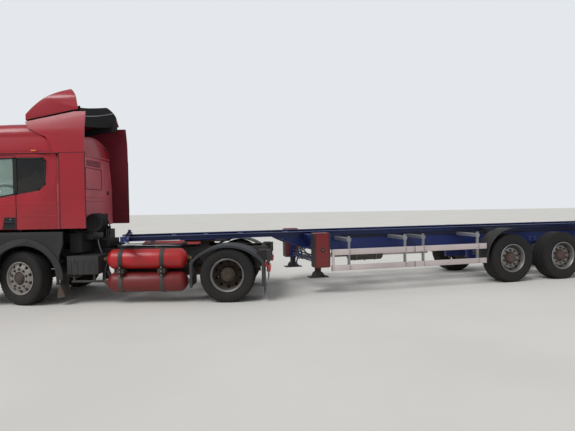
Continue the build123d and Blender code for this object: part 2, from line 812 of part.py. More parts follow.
# Front fenders: an outer panel with its arch, a liner over the tyre, steps ahead and a flap behind
arch_lip_radius = 590
arch_liner_radius = 640
liner_wall = 10
fender_front_x = nose_x + bumper_depth + 12
fender_back_x = front_axle_x + 690
fender_outer_y = 1240
fender_thick = 45
step_block_back_x = front_axle_x - arch_liner_radius - liner_wall - 20
with BuildPart() as front_fenders:
    with BuildSketch(across(fender_outer_y)):
        with BuildLine():
            Polyline(
                (fender_front_x, bumper_low_z), (step_block_back_x, bumper_low_z),
                (step_block_back_x, tyre_radius - 120), (fender_back_x - 60, tyre_radius - 120),
                (fender_back_x - 60, 480), (fender_back_x - 40, 900), (fender_back_x + 30, 1100),
                (fender_back_x + 30, fender_top_z), (fender_front_x, fender_top_z), close=True,
            )
        make_face()
        with Locations((front_axle_x, tyre_radius)):
            Circle(arch_lip_radius, mode=Mode.SUBTRACT)
    extrude(amount=fender_thick)
    with BuildSketch(across(fender_outer_y - fender_thick)):
        with Locations((front_axle_x, tyre_radius)):
            Circle(arch_liner_radius + liner_wall)
            Circle(arch_liner_radius, mode=Mode.SUBTRACT)
        with Locations((front_axle_x, tyre_radius - 120)):
            Rectangle(1600, 700, align=(Align.CENTER, Align.MAX), mode=Mode.SUBTRACT)
    extrude(amount=380)
    with BuildSketch(across(fender_outer_y)):
        with Locations((fender_front_x, bumper_low_z)):
            Rectangle(
                step_block_back_x - fender_front_x, fender_top_z - bumper_low_z,
                align=(Align.MIN, Align.MIN),
            )
    extrude(amount=300)
    for step_z in (470, 830):
        with BuildSketch(across(fender_outer_y)):
            with Locations(((fender_front_x + step_block_back_x) / 2, step_z)):
                Rectangle(step_block_back_x - fender_front_x - 90, 250, align=(Align.CENTER, Align.MIN))
        extrude(amount=230, mode=Mode.SUBTRACT)
    with BuildSketch(Plane.YZ.offset(front_axle_x + arch_liner_radius - 2)):
        with Locations((fender_outer_y - fender_thick - 330, 130)):
            Rectangle(330, 360, align=(Align.MIN, Align.MIN))
    extrude(amount=12)
    for arm_x in ((fender_front_x + step_block_back_x) / 2 + 40, front_axle_x + 600):
        with BuildSketch(across(fender_outer_y - 200)):
            with Locations((arm_x, 780)):
                Rectangle(60, 60)
        extrude(amount=fender_outer_y - 200 - rail_outer_y)
    mirror(about=Plane.XZ)
write(front_fenders, "front_fenders", tractor_place)

# Gas cylinders: two above each other on each side, domed at both ends
tank_radius = 180
tank_y = 1050
tank_front_x = -1650
tank_back_x = -178
tank_heights = [805, 385]
dome_length = 120
neck_radius = 16
neck_length = 55
with BuildPart() as gas_tanks:
    for tank_z in tank_heights:
        with BuildSketch(Plane.XY.offset(tank_z)):
            with BuildLine():
                Polyline(
                    (tank_front_x + dome_length, tank_y - tank_radius),
                    (tank_back_x - dome_length, tank_y - tank_radius),
                )
                ThreePointArc(
                    (tank_back_x - dome_length, tank_y - tank_radius),
                    (tank_back_x - 0.28 * dome_length, tank_y - 0.6 * tank_radius),
                    (tank_back_x, tank_y - neck_radius),
                )
                Polyline(
                    (tank_back_x, tank_y - neck_radius), (tank_back_x, tank_y),
                    (tank_front_x - neck_length, tank_y),
                    (tank_front_x - neck_length, tank_y - neck_radius),
                    (tank_front_x, tank_y - neck_radius),
                )
                ThreePointArc(
                    (tank_front_x, tank_y - neck_radius),
                    (tank_front_x + 0.28 * dome_length, tank_y - 0.6 * tank_radius),
                    (tank_front_x + dome_length, tank_y - tank_radius),
                )
            make_face()
        revolve(axis=Axis((tank_front_x, tank_y, tank_z), (1, 0, 0)))
    mirror(about=Plane.XZ)
write(gas_tanks, "gas_tanks", tractor_place)

# Tank brackets: bands round the cylinders, blocks between them and arms to the rail
strap_width = 80
strap_thick = 8
strap_places = [-1370, -625]
upright_y = tank_y - tank_radius - 40
with BuildPart() as tank_brackets:
    for strap_x in strap_places:
        with BuildSketch(Plane.YZ.offset(strap_x - strap_width / 2)):
            for tank_z in tank_heights:
                with Locations((-tank_y, tank_z)):
                    Circle(tank_radius + seat_gap + strap_thick)
            with Locations((-tank_y, sum(tank_heights) / 2)):
                Rectangle(200, 120)
            with Locations((-upright_y - 60, sum(tank_heights) / 2)):
                Rectangle(120, 720, align=(Align.MIN, Align.CENTER))
            with Locations((-rail_outer_y, 800)):
                Rectangle(upright_y - rail_outer_y, 130, align=(Align.MAX, Align.CENTER))
            for tank_z in tank_heights:
                with Locations((-tank_y, tank_z)):
                    Circle(tank_radius + seat_gap, mode=Mode.SUBTRACT)
        extrude(amount=strap_width)
    mirror(about=Plane.XZ)
write(tank_brackets, "tank_brackets", tractor_place)

# Battery box on two arms, with a tube below it
box_front_x = -2330
box_back_x = -1765
box_low_z = 550
box_high_z = 885
with BuildPart() as battery_box:
    with BuildSketch(across(1200)):
        with Locations((box_front_x, box_low_z)):
            Rectangle(box_back_x - box_front_x, box_high_z - box_low_z, align=(Align.MIN, Align.MIN))
    extrude(amount=560)
    fillet(battery_box.edges().filter_by(Axis.X).group_by(Axis.Y)[0], 25)
    for arm_x in (box_front_x + 100, box_back_x - 100):
        with BuildSketch(across(640)):
            with Locations((arm_x, 770)):
                Rectangle(70, 100)
        extrude(amount=640 - rail_outer_y)
        with BuildSketch(Plane.XY.offset(420)):
            with Locations((arm_x, 1130)):
                Rectangle(40, 40)
        extrude(amount=box_low_z - 420)
    with BuildSketch(Plane.YZ.offset(-2270)):
        with Locations((1150, 420)):
            Circle(22)
    extrude(amount=590)
    mirror(about=Plane.XZ)
write(battery_box, "battery_box", tractor_place)

# Drive fenders over the twin tyres: crown, two skirts, an outer lip and a flap behind
drive_fender_inner_y = 575
drive_fender_outer_y = drive_tyre_face_y + 25
drive_fender_wall = 10
drive_crown_z = 1045
drive_fender_half = 670
drive_fender_shoulder_z = 740
drive_fender_low_z = 285
lip_depth = 48
with BuildPart() as rear_fenders:
    with BuildSketch(across(drive_fender_outer_y)):
        with BuildLine():
            crown_arc = ThreePointArc(
                (drive_axle_x - drive_fender_half, drive_fender_shoulder_z),
                (drive_axle_x, drive_crown_z),
                (drive_axle_x + drive_fender_half, drive_fender_shoulder_z),
            )
            Polyline(
                crown_arc @ 1, (drive_axle_x + drive_fender_half, drive_fender_low_z),
                (drive_axle_x - drive_fender_half, drive_fender_low_z), crown_arc @ 0,
            )
        make_face()
        with BuildLine():
            inner_arc = ThreePointArc(
                (drive_axle_x - drive_fender_half + drive_fender_wall, drive_fender_shoulder_z - 5),
                (drive_axle_x, drive_crown_z - drive_fender_wall),
                (drive_axle_x + drive_fender_half - drive_fender_wall, drive_fender_shoulder_z - 5),
            )
            Polyline(
                inner_arc @ 1, (drive_axle_x + drive_fender_half - drive_fender_wall, drive_fender_low_z),
                (drive_axle_x - drive_fender_half + drive_fender_wall, drive_fender_low_z), inner_arc @ 0,
            )
        make_face(mode=Mode.SUBTRACT)
    extrude(amount=drive_fender_outer_y - drive_fender_inner_y)
    with BuildSketch(across(drive_fender_outer_y)):
        with BuildLine():
            lip_arc = ThreePointArc(
                (drive_axle_x - drive_fender_half, drive_fender_shoulder_z),
                (drive_axle_x, drive_crown_z),
                (drive_axle_x + drive_fender_half, drive_fender_shoulder_z),
            )
            Polyline(
                lip_arc @ 1, (drive_axle_x + drive_fender_half, drive_fender_low_z),
                (drive_axle_x - drive_fender_half, drive_fender_low_z), lip_arc @ 0,
            )
        make_face()
        with BuildLine():
            inner_lip_arc = ThreePointArc(
                (drive_axle_x - drive_fender_half + lip_depth, drive_fender_shoulder_z - 20),
                (drive_axle_x, drive_crown_z - lip_depth),
                (drive_axle_x + drive_fender_half - lip_depth, drive_fender_shoulder_z - 20),
            )
            Polyline(
                inner_lip_arc @ 1, (drive_axle_x + drive_fender_half - lip_depth, drive_fender_low_z),
                (drive_axle_x - drive_fender_half + lip_depth, drive_fender_low_z), inner_lip_arc @ 0,
            )
        make_face(mode=Mode.SUBTRACT)
    extrude(amount=15)
    for arm_x in (drive_axle_x - drive_fender_half + 5, drive_axle_x + drive_fender_half - 5):
        with BuildSketch(across(drive_fender_inner_y + 30)):
            with Locations((arm_x, 720)):
                Rectangle(50, 50)
        extrude(amount=drive_fender_inner_y + 30 - rail_outer_y)
    with BuildSketch(Plane.YZ.offset(drive_axle_x + drive_fender_half - drive_fender_wall)):
        with Locations((drive_fender_inner_y + 30, 130)):
            Rectangle(drive_fender_outer_y - drive_fender_inner_y - 70, 170, align=(Align.MIN, Align.MIN))
    extrude(amount=drive_fender_wall)
    mirror(about=Plane.XZ)
write(rear_fenders, "rear_fenders", tractor_place)

# Tail bar behind the rails with its boxes, and the lamps on it
tail_bar_z = 700
cab_mount_x = -2560
with BuildPart() as tail_bar:
    with BuildSketch(Plane.YZ.offset(tractor_tail_x)):
        with Locations((0, tail_bar_z)):
            Rectangle(2100, 90)
    extrude(amount=50)
    for side in (-1, 1):
        with BuildSketch(Plane.YZ.offset(tractor_tail_x)):
            with Locations((side * 900, 830)):
                Rectangle(240, 190)
        extrude(amount=70)
    for side in (-1, 1):
        with BuildSketch(Plane.XY.offset(rail_top_z)):
            with Locations((cab_mount_x, side * spring_y)):
                Rectangle(80, 70)
        extrude(amount=cab_bottom_z - seat_gap - rail_top_z)
    add(members)
write(tail_bar, "tractor_cross_members", tractor_place)

with BuildPart() as tail_lamps:
    for side in (-1, 1):
        with BuildSketch(Plane.YZ.offset(tractor_tail_x + 5)):
            with Locations((side * 900, 590)):
                RectangleRounded(300, 130 - 2 * seat_gap, 20)
        extrude(amount=70)
    add(headlamps)
write(tail_lamps, "tractor_lamps", tractor_place)

# Air intake behind the cab: a duct that rises from the left rail to an oval head
intake_x = -2090
intake_head_x = -1960
intake_head_z = 1475
intake_head_width = 310
with BuildPart() as air_intake:
    with BuildSketch(Plane.XY.offset(rail_top_z)):
        with Locations((intake_x, -340)):
            Rectangle(170, 90)
    extrude(amount=250)
    with BuildSketch(Plane.XY.offset(rail_top_z + 200)):
        with Locations((intake_x, -550)):
            Rectangle(180, 540)
    extrude(amount=120)
    with BuildSketch(Plane.XY.offset(rail_top_z + 280)):
        with Locations((intake_x + 30, -690)):
            Rectangle(120, 200)
    extrude(amount=220)
    with BuildSketch(across(-535)):
        with Locations((intake_head_x, intake_head_z)):
            Ellipse(160, 165)
    extrude(amount=intake_head_width)
write(air_intake, "air_intake", tractor_place)

# Steering: each knuckle turns on an upright pin in the axle's boss, and a rod ties the arms
arm_reach = 205
arm_low_z = boss_low_z - 43
arm_thick = 22
ear_thick = 42
tie_pin_radius = 10
tie_low_z = arm_low_z + arm_thick + 1
tie_high_z = tie_low_z + 30
front_hub_depth = 190
spindle_back_y = 62


def pivot_place(side):
    """Where a steered piece goes: on its pivot, turned as it is parked."""
    turn = steer_turn if side < 0 else steer_turn + 180
    return tractor_place * Location((front_axle_x, side * pivot_y, 0), (0, 0, turn))


for side_name, side in (("left", -1), ("right", 1)):
    with BuildPart() as knuckle:
        for ear_low_z in (boss_high_z + 1, boss_low_z - 1 - ear_thick):
            with BuildSketch(Plane.XY.offset(ear_low_z)):
                Circle(46)
                Rectangle(92, 90, align=(Align.CENTER, Align.MAX))
            extrude(amount=ear_thick)
        with BuildSketch(Plane.XY.offset(boss_low_z - 1 - ear_thick)):
            with Locations((0, -spindle_back_y)):
                Rectangle(140, 40, align=(Align.CENTER, Align.MAX))
        extrude(amount=boss_high_z - boss_low_z + 2 + 2 * ear_thick)
        with BuildSketch(Plane.XY.offset(boss_low_z - 2)):
            Circle(pivot_radius)
        extrude(amount=boss_high_z - boss_low_z + 4)
        with BuildSketch(across(-spindle_back_y - 30)):
            with Locations((0, tyre_radius)):
                Circle(190)
        extrude(amount=14)
        with BuildSketch(across(-spindle_back_y)):
            with Locations((0, tyre_radius)):
                Circle(spindle_radius)
        extrude(amount=front_tyre_face_y - pivot_y - spindle_back_y - 8)
        with BuildSketch(Plane.XY.offset(arm_low_z)):
            with Locations((0, 0)):
                Rectangle(
                    arm_reach + 20, 50,
                    align=(Align.MIN if side < 0 else Align.MAX, Align.CENTER),
                )
        extrude(amount=arm_thick)
        with BuildSketch(Plane.XY.offset(arm_low_z)):
            with Locations((-side * arm_reach, 0)):
                Circle(tie_pin_radius)
        extrude(amount=tie_high_z - arm_low_z)
    write(knuckle, f"knuckle_{side_name}", pivot_place(side))

steer_sin = sin(radians(steer_turn))
steer_cos = cos(radians(steer_turn))
tie_x = front_axle_x + arm_reach * steer_cos
tie_left_y = -pivot_y + arm_reach * steer_sin
tie_right_y = pivot_y + arm_reach * steer_sin
tie_eye_radius = 26
open_eye_gap = 4
with BuildPart() as tie_rod:
    with BuildSketch(Plane.XZ.offset(-tie_left_y)):
        with Locations((tie_x, (tie_low_z + tie_high_z) / 2)):
            Circle(13)
    extrude(amount=tie_left_y - tie_right_y)
    with BuildSketch(Plane.XY.offset(tie_low_z)):
        with Locations((tie_x, tie_left_y), (tie_x, tie_right_y)):
            Circle(tie_eye_radius)
    extrude(amount=tie_high_z - tie_low_z)
    with BuildSketch(Plane.XY.offset(tie_low_z)):
        with Locations((tie_x, tie_left_y)):
            Circle(tie_pin_radius + bearing_gap)
        with Locations((tie_x, tie_right_y)):
            Circle(tie_pin_radius + open_eye_gap)
    extrude(amount=tie_high_z - tie_low_z, mode=Mode.SUBTRACT)
write(tie_rod, "tie_rod", tractor_place)

# Wheels: sections of (depth in from the outer tyre face, radius), turned about the axle


def turned(section):
    """A ring: the section turned about the wheel's own axle, its outer face at y = 0."""
    with BuildPart() as ring:
        with BuildSketch(Plane.YZ):
            with BuildLine():
                Polyline(*section, close=True)
            make_face()
        revolve(axis=Axis.Y)
    return ring.part


def tyre_section(start, width, radius):
    """A tyre's section: bead, side wall, shoulder and tread."""
    half = [
        (28, rim_radius + bead_gap), (25, rim_lip_radius + 8), (6, rim_lip_radius + 45),
        (0, (rim_lip_radius + radius) / 2), (8, radius - 42), (32, radius),
    ]
    inner = [(width - depth, r) for depth, r in reversed(half)]
    return [(start + depth, r) for depth, r in half + inner]


def barrel(start, width):
    """The rim's outer side: two lips and the seat between them."""
    return [
        (start + width - 8, 276), (start + width - 8, rim_lip_radius),
        (start + width - 22, rim_lip_radius), (start + width - 22, rim_radius),
        (start + 22, rim_radius), (start + 22, rim_lip_radius), (start + 8, rim_lip_radius),
    ]


wide = wide_tyre_width
second = tyre_width + twin_gap
twin = second + tyre_width
rim_sections = {
    "front": [
        (8, 280), (42, 268), (24, 222), (6, 205), (6, 118), (-22, 105), (-22, 0), (6, 0),
        (6, hub_bore), (front_hub_depth, hub_bore), (front_hub_depth, 105), (20, 105), (20, 200),
        (38, 216), (60, 276), *barrel(0, tyre_width),
    ],
    "drive": [
        (8, 280), (60, 270), (215, 262), (292, 212), (292, 140), (140, 132), (115, 100), (115, 0),
        (150, 0), (150, hub_bore), (twin - 60, hub_bore), (twin - 60, 105), (second - 4, 105),
        (second - 4, 212), (second + 60, 270), *barrel(second, tyre_width)[:-1],
        (second + 8, rim_lip_radius), (second + 8, 282), (tyre_width - 8, 282),
        *barrel(0, tyre_width)[1:],
    ],
    "trailer": [
        (8, 280), (80, 268), (100, 212), (100, 150), (60, 118), (28, 108), (28, 0), (50, 0),
        (50, hub_bore), (300, hub_bore), (300, 120), (116, 120), (116, 214), (104, 276),
        *barrel(0, wide),
    ],
}
tyre_sections = {
    "front": [tyre_section(0, tyre_width, tyre_radius)],
    "drive": [tyre_section(0, tyre_width, tyre_radius), tyre_section(second, tyre_width, tyre_radius)],
    "trailer": [tyre_section(0, wide, wide_tyre_radius)],
}


def wheel_place(carrier, x, side, face_y, radius):
    """Where a wheel goes on its carrier: outer face outwards on this side."""
    turn = 0 if side < 0 else 180
    return carrier * Location((x, side * face_y, radius), (0, 0, turn))


steered_reach = Location((0, pivot_y - front_tyre_face_y, tyre_radius))
wheel_list = []
for side_name, side in (("left", -1), ("right", 1)):
    wheel_list.append((f"wheel_front_{side_name}", "front", pivot_place(side) * steered_reach))
    wheel_list.append((
        f"wheels_drive_{side_name}", "drive",
        wheel_place(tractor_place, drive_axle_x, side, drive_tyre_face_y, tyre_radius),
    ))
    for number in range(3):
        axle_x = trailer_axle_x + number * trailer_axle_gap
        wheel_list.append((
            f"wheel_trailer_{number + 1}_{side_name}", "trailer",
            wheel_place(trailer_place, axle_x, side, trailer_tyre_face_y, wide_tyre_radius),
        ))
for wheel_name, kind, place in wheel_list:
    with BuildPart() as wheel:
        add(turned(rim_sections[kind]))
        for section in tyre_sections[kind]:
            add(turned(section))
    write(wheel, wheel_name, place)

# Trailer beams: an I-section each side, deep over the axles and shallow over the tractor
beam_outer_y = 505
beam_flange = 150
beam_web = 10
beam_flange_thick = 14
beam_top_z = 1192
beam_low_line = [
    (trailer_front_x, 1110), (1250, 1110), (1420, 1065), (1600, 975), (1800, 893), (2100, 835),
    (2500, 800), (trailer_tail_x - 120, 800),
]
beam_middle_y = beam_outer_y - beam_flange / 2
web_face_y = beam_middle_y + beam_web / 2
beam_top_line = [(trailer_tail_x - 120, beam_top_z), (trailer_front_x, beam_top_z)]
with BuildPart() as beams:
    with BuildSketch(across(beam_middle_y + beam_web / 2)):
        with BuildLine():
            Polyline(*beam_low_line, *beam_top_line, close=True)
        make_face()
    extrude(amount=beam_web)
    with BuildSketch(across(beam_outer_y)):
        with BuildLine():
            Polyline(*beam_low_line, *beam_top_line, close=True)
        make_face()
        with BuildLine():
            Polyline(
                (trailer_front_x - 10, 1110 + beam_flange_thick),
                *[(x, z + beam_flange_thick) for x, z in beam_low_line[1:-1]],
                (trailer_tail_x, 800 + beam_flange_thick),
                (trailer_tail_x, beam_top_z - beam_flange_thick),
                (trailer_front_x - 10, beam_top_z - beam_flange_thick), close=True,
            )
        make_face(mode=Mode.SUBTRACT)
    extrude(amount=beam_flange)
    mirror(about=Plane.XZ)
write(beams, "trailer_beams", trailer_place)

# Coupler plate under the neck, with the kingpin
coupler_front_x = -560
coupler_back_x = 620
with BuildPart() as coupler:
    with BuildSketch(Plane.XY.offset(plate_z)):
        with Locations((coupler_front_x, 0)):
            Rectangle(coupler_back_x - coupler_front_x, 2 * beam_outer_y, align=(Align.MIN, Align.CENTER))
    extrude(amount=10)
    with BuildSketch(Plane.XY.offset(plate_z + 5)):
        Circle(kingpin_radius)
    extrude(amount=-kingpin_length - 5)
write(coupler, "coupler_plate", trailer_place)

# Cross members between the webs: x of the middle, bottom z, top z
gap_y = beam_middle_y - beam_web / 2
neck_low_z = 1110 + beam_flange_thick
cross_list = [
    (-1550, neck_low_z, beam_top_z - 20), (-640, neck_low_z, beam_top_z - 20),
    (0, neck_low_z, beam_top_z - 20), (720, neck_low_z, beam_top_z - 20),
    (1700, 1000, beam_top_z - 20), (2900, 880, beam_top_z - 60), (3900, 880, beam_top_z - 60),
    (4900, 880, beam_top_z - 60), (5900, 880, beam_top_z - 60), (7030, 880, beam_top_z - 60),
    (8340, 880, beam_top_z - 60), (9500, 880, beam_top_z - 60),
    (trailer_tail_x - 190, 860, beam_top_z - 20),
]
with BuildPart() as trailer_members:
    for member_x, low_z, high_z in cross_list:
        with BuildSketch(Plane.XY.offset(low_z)):
            with Locations((member_x, 0)):
                Rectangle(90, 2 * gap_y)
        extrude(amount=high_z - low_z)
write(trailer_members, "trailer_cross_members", trailer_place)

# Bolsters that carry a container's corners, with a twist lock on each end
front_lock_x = bolster_front_x + bolster_length / 2
rear_lock_x = trailer_tail_x - 80
lock_y = 1129
tail_frame_x = trailer_tail_x - 120
tail_frame_back_x = trailer_tail_x - 40
with BuildPart() as bolsters:
    for side in (-1, 1):
        with BuildSketch(Plane.YZ.offset(bolster_front_x)):
            with BuildLine():
                Polyline(
                    (side * beam_outer_y, 1112), (side * bolster_reach_y, 1130),
                    (side * bolster_reach_y, beam_top_z), (side * beam_outer_y, beam_top_z), close=True,
                )
            make_face()
        extrude(amount=bolster_length)
    with BuildSketch(Plane.YZ.offset(tail_frame_x)):
        with Locations((0, beam_top_z)):
            Rectangle(2 * trailer_half_width, 330, align=(Align.CENTER, Align.MAX))
    extrude(amount=tail_frame_back_x - tail_frame_x)
    lock_places = [(x, side * lock_y) for x in (front_lock_x, rear_lock_x) for side in (-1, 1)]
    for radius, low_z, high_z in (
        (44, beam_top_z, beam_top_z + 22), (28, beam_top_z + 22, beam_top_z + 34)
    ):
        with BuildSketch(Plane.XY.offset(low_z)):
            with Locations(*lock_places):
                Circle(radius)
        extrude(amount=high_z - low_z)
    with BuildSketch(Plane.XY.offset(beam_top_z + 34)):
        with Locations(*lock_places):
            RectangleRounded(80, 52, 20)
    extrude(amount=34, taper=25)
write(bolsters, "bolsters", trailer_place)

# Landing gear: a leg each side on its outrigger, tied by a tube, with a foot and a crank
leg_x = 2070
leg_y = 900
leg_size = 130
foot_low_z = 310
crank_y = -850
crank_z = 900
crank_x = leg_x - 360
with BuildPart() as landing_gear:
    with BuildSketch(Plane.XY.offset(520)):
        with Locations((leg_x, leg_y)):
            RectangleRounded(leg_size, leg_size, 12)
    extrude(amount=1150 - 520)
    with BuildSketch(Plane.XY.offset(foot_low_z + 60)):
        with Locations((leg_x, leg_y)):
            RectangleRounded(leg_size - 26, leg_size - 26, 10)
    extrude(amount=200)
    with BuildSketch(Plane.XY.offset(foot_low_z)):
        with Locations((leg_x, leg_y)):
            RectangleRounded(390, 260, 30)
    extrude(amount=14)
    with BuildSketch(across(leg_y + 80)):
        with BuildLine():
            foot_arc = ThreePointArc(
                (leg_x - 110, foot_low_z + 14), (leg_x, foot_low_z + 124), (leg_x + 110, foot_low_z + 14)
            )
            Line(foot_arc @ 1, foot_arc @ 0)
        make_face()
    extrude(amount=160)
    with BuildSketch(across(leg_y - leg_size / 2)):
        with BuildLine():
            Polyline(
                (leg_x - 60, 885), (leg_x + 60, 885), (leg_x + 190, 1150), (leg_x - 190, 1150),
                close=True,
            )
        make_face()
    extrude(amount=leg_y - leg_size / 2 - web_face_y)
    with BuildSketch(across(leg_y)):
        with Locations((leg_x, 640)):
            Circle(30)
    extrude(amount=leg_y)
    mirror(about=Plane.XZ)
    with BuildSketch(Plane.YZ.offset(crank_x)):
        with Locations((crank_y, crank_z)):
            Circle(14)
    extrude(amount=leg_x - leg_size / 2 + 5 - crank_x)
    with BuildSketch(across(crank_y + 11)):
        with BuildLine():
            Polyline(
                (crank_x - 10, crank_z + 14), (crank_x + 40, crank_z - 105), (crank_x - 35, crank_z - 130),
                (crank_x - 90, crank_z - 345), (crank_x - 66, crank_z - 352), (crank_x - 16, crank_z - 152),
                (crank_x + 68, crank_z - 120), (crank_x + 22, crank_z + 14), close=True,
            )
        make_face()
    extrude(amount=22)
write(landing_gear, "landing_gear", trailer_place)

# Extinguisher boxes on the outer side of each leg
case_low_z = 525
case_high_z = 1190
with BuildPart() as extinguisher_boxes:
    with BuildSketch(Plane.XY.offset(case_low_z)):
        with Locations((leg_x, leg_y + leg_size / 2)):
            Rectangle(305, 235, align=(Align.CENTER, Align.MIN))
    extrude(amount=case_high_z - case_low_z)
    fillet(extinguisher_boxes.edges().filter_by(Axis.Z).group_by(Axis.Y)[-1], 35)
    mirror(about=Plane.XZ)
write(extinguisher_boxes, "extinguisher_boxes", trailer_place)

# Side guards: two rails each side in two lengths, with an end post in front
guard_front_x = 2262
guard_back_x = 5725
guard_joint_x = 4040
guard_outer_y = 1200
guard_thick = 30
end_post_width = 55
guard_rails = [(753, 114), (450, 110)]
with BuildPart() as side_guards:
    for low_z, height in guard_rails:
        for start_x, end_x in (
            (guard_front_x + end_post_width + seat_gap, guard_joint_x - 4), (guard_joint_x + 4, guard_back_x)
        ):
            with BuildSketch(across(guard_outer_y)):
                with Locations((start_x, low_z)):
                    Rectangle(end_x - start_x, height, align=(Align.MIN, Align.MIN))
            extrude(amount=guard_thick)
    with BuildSketch(across(guard_outer_y)):
        with Locations((guard_front_x, guard_rails[1][0])):
            Rectangle(end_post_width, 417, align=(Align.MIN, Align.MIN))
    extrude(amount=guard_thick)
    mirror(about=Plane.XZ)
write(side_guards, "side_guards", trailer_place)

# Guard brackets: an arm from the beam and a post behind the rails
guard_posts = [2630, 3840, 4250, 5530]
post_back_y = guard_outer_y - guard_thick
with BuildPart() as guard_brackets:
    for post_x in guard_posts:
        with BuildSketch(across(post_back_y)):
            with Locations((post_x, guard_rails[1][0] + 20)):
                Rectangle(46, 640, align=(Align.CENTER, Align.MIN))
        extrude(amount=46)
        with BuildSketch(across(post_back_y)):
            with Locations((post_x, 1040)):
                Rectangle(90, 70)
        extrude(amount=post_back_y - web_face_y)
    mirror(about=Plane.XZ)
write(guard_brackets, "guard_brackets", trailer_place)

# Mudguards ahead of the first axle and behind the last
wing_radius = 640
wing_wall = 8
wing_outer_y = 1215
wing_inner_y = 815
last_axle_x = trailer_axle_x + 2 * trailer_axle_gap
with BuildPart() as mudguards:
    for axle_x, way in ((trailer_axle_x, -1), (last_axle_x, 1)):
        with BuildSketch(across(wing_outer_y)):
            with Locations((axle_x, wide_tyre_radius)):
                Circle(wing_radius)
                Circle(wing_radius - wing_wall, mode=Mode.SUBTRACT)
            with Locations((axle_x - way * 120, wide_tyre_radius)):
                Rectangle(
                    1400, 1500,
                    align=(Align.MAX if way > 0 else Align.MIN, Align.CENTER), mode=Mode.SUBTRACT,
                )
            with Locations((axle_x, wide_tyre_radius - 20)):
                Rectangle(1400, 800, align=(Align.CENTER, Align.MAX), mode=Mode.SUBTRACT)
        extrude(amount=wing_outer_y - wing_inner_y)
        with BuildSketch(across(wing_inner_y + 40)):
            with Locations((axle_x + way * 215, wide_tyre_radius + 596)):
                Rectangle(60, 40)
        extrude(amount=wing_inner_y + 40 - web_face_y)
    mirror(about=Plane.XZ)
write(mudguards, "mudguards", trailer_place)

# Axles with their drums
trailer_axle_radius = 65
drum_radius = 200
wide_hub_depth = 55
with BuildPart() as trailer_axles:
    for number in range(3):
        with BuildSketch(across(0)):
            with Locations((trailer_axle_x + number * trailer_axle_gap, wide_tyre_radius)):
                Circle(spindle_radius)
        extrude(amount=-(trailer_tyre_face_y - wide_hub_depth))
        with BuildSketch(across(0)):
            with Locations((trailer_axle_x + number * trailer_axle_gap, wide_tyre_radius)):
                Circle(trailer_axle_radius)
        extrude(amount=-880)
        with BuildSketch(across(640)):
            with Locations((trailer_axle_x + number * trailer_axle_gap, wide_tyre_radius)):
                Circle(drum_radius)
        extrude(amount=-165)
    mirror(about=Plane.XZ)
write(trailer_axles, "trailer_axles", trailer_place)

# Suspension: a hanger, a trailing arm over the axle and an air spring, each side of each axle
arm_y = beam_middle_y
with BuildPart() as suspension:
    for number in range(3):
        axle_x = trailer_axle_x + number * trailer_axle_gap
        with BuildSketch(across(arm_y + 40)):
            with BuildLine():
                Polyline(
                    (axle_x - 640, 800), (axle_x - 470, 800), (axle_x - 500, 430), (axle_x - 600, 430),
                    close=True,
                )
            make_face()
            with BuildLine():
                Polyline(
                    (axle_x - 560, 455), (axle_x - 120, 430), (axle_x + 120, 430),
                    (axle_x + 540, 480), (axle_x + 540, 540), (axle_x + 120, 600),
                    (axle_x - 120, 600), (axle_x - 560, 535), close=True,
                )
            make_face()
            with Locations((axle_x, wide_tyre_radius)):
                Circle(trailer_axle_radius + seat_gap, mode=Mode.SUBTRACT)
        extrude(amount=80)
        with BuildSketch(Plane.XY.offset(530)):
            with Locations((axle_x + 420, arm_y)):
                Circle(130)
        extrude(amount=270)
    mirror(about=Plane.XZ)
write(suspension, "trailer_suspension", trailer_place)

# Air tanks under the beams
air_tank_radius = 125
air_tank_length = 760
with BuildPart() as air_tanks:
    with BuildSketch(Plane.YZ.offset(2900)):
        with Locations((beam_middle_y, 800 - seat_gap - air_tank_radius)):
            Circle(air_tank_radius)
    extrude(amount=air_tank_length)
    fillet(air_tanks.edges().filter_by(GeomType.CIRCLE), 40)
    mirror(about=Plane.XZ)
write(air_tanks, "air_tanks", trailer_place)

# Rear underrun bar and the rear lamps
with BuildPart() as rear_bumper:
    with BuildSketch(Plane.YZ.offset(tail_frame_x)):
        for side in (-1, 1):
            with Locations((side * 680, beam_top_z - 330)):
                Rectangle(80, 400, align=(Align.CENTER, Align.MAX))
    extrude(amount=80)
    with BuildSketch(Plane.YZ.offset(tail_frame_x - 10)):
        with Locations((0, 460)):
            Rectangle(2360, 120)
    extrude(amount=100)
write(rear_bumper, "rear_bumper", trailer_place)

with BuildPart() as trailer_lamps:
    for side in (-1, 1):
        with BuildSketch(Plane.YZ.offset(tail_frame_back_x)):
            with Locations((side * 1000, 1000)):
                RectangleRounded(380, 130, 20)
        extrude(amount=trailer_tail_x - tail_frame_back_x)
write(trailer_lamps, "trailer_lamps", trailer_place)
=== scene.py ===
import bpy
import json
from math import atan2, cos, pi, radians, sin
from mathutils import Matrix, Vector


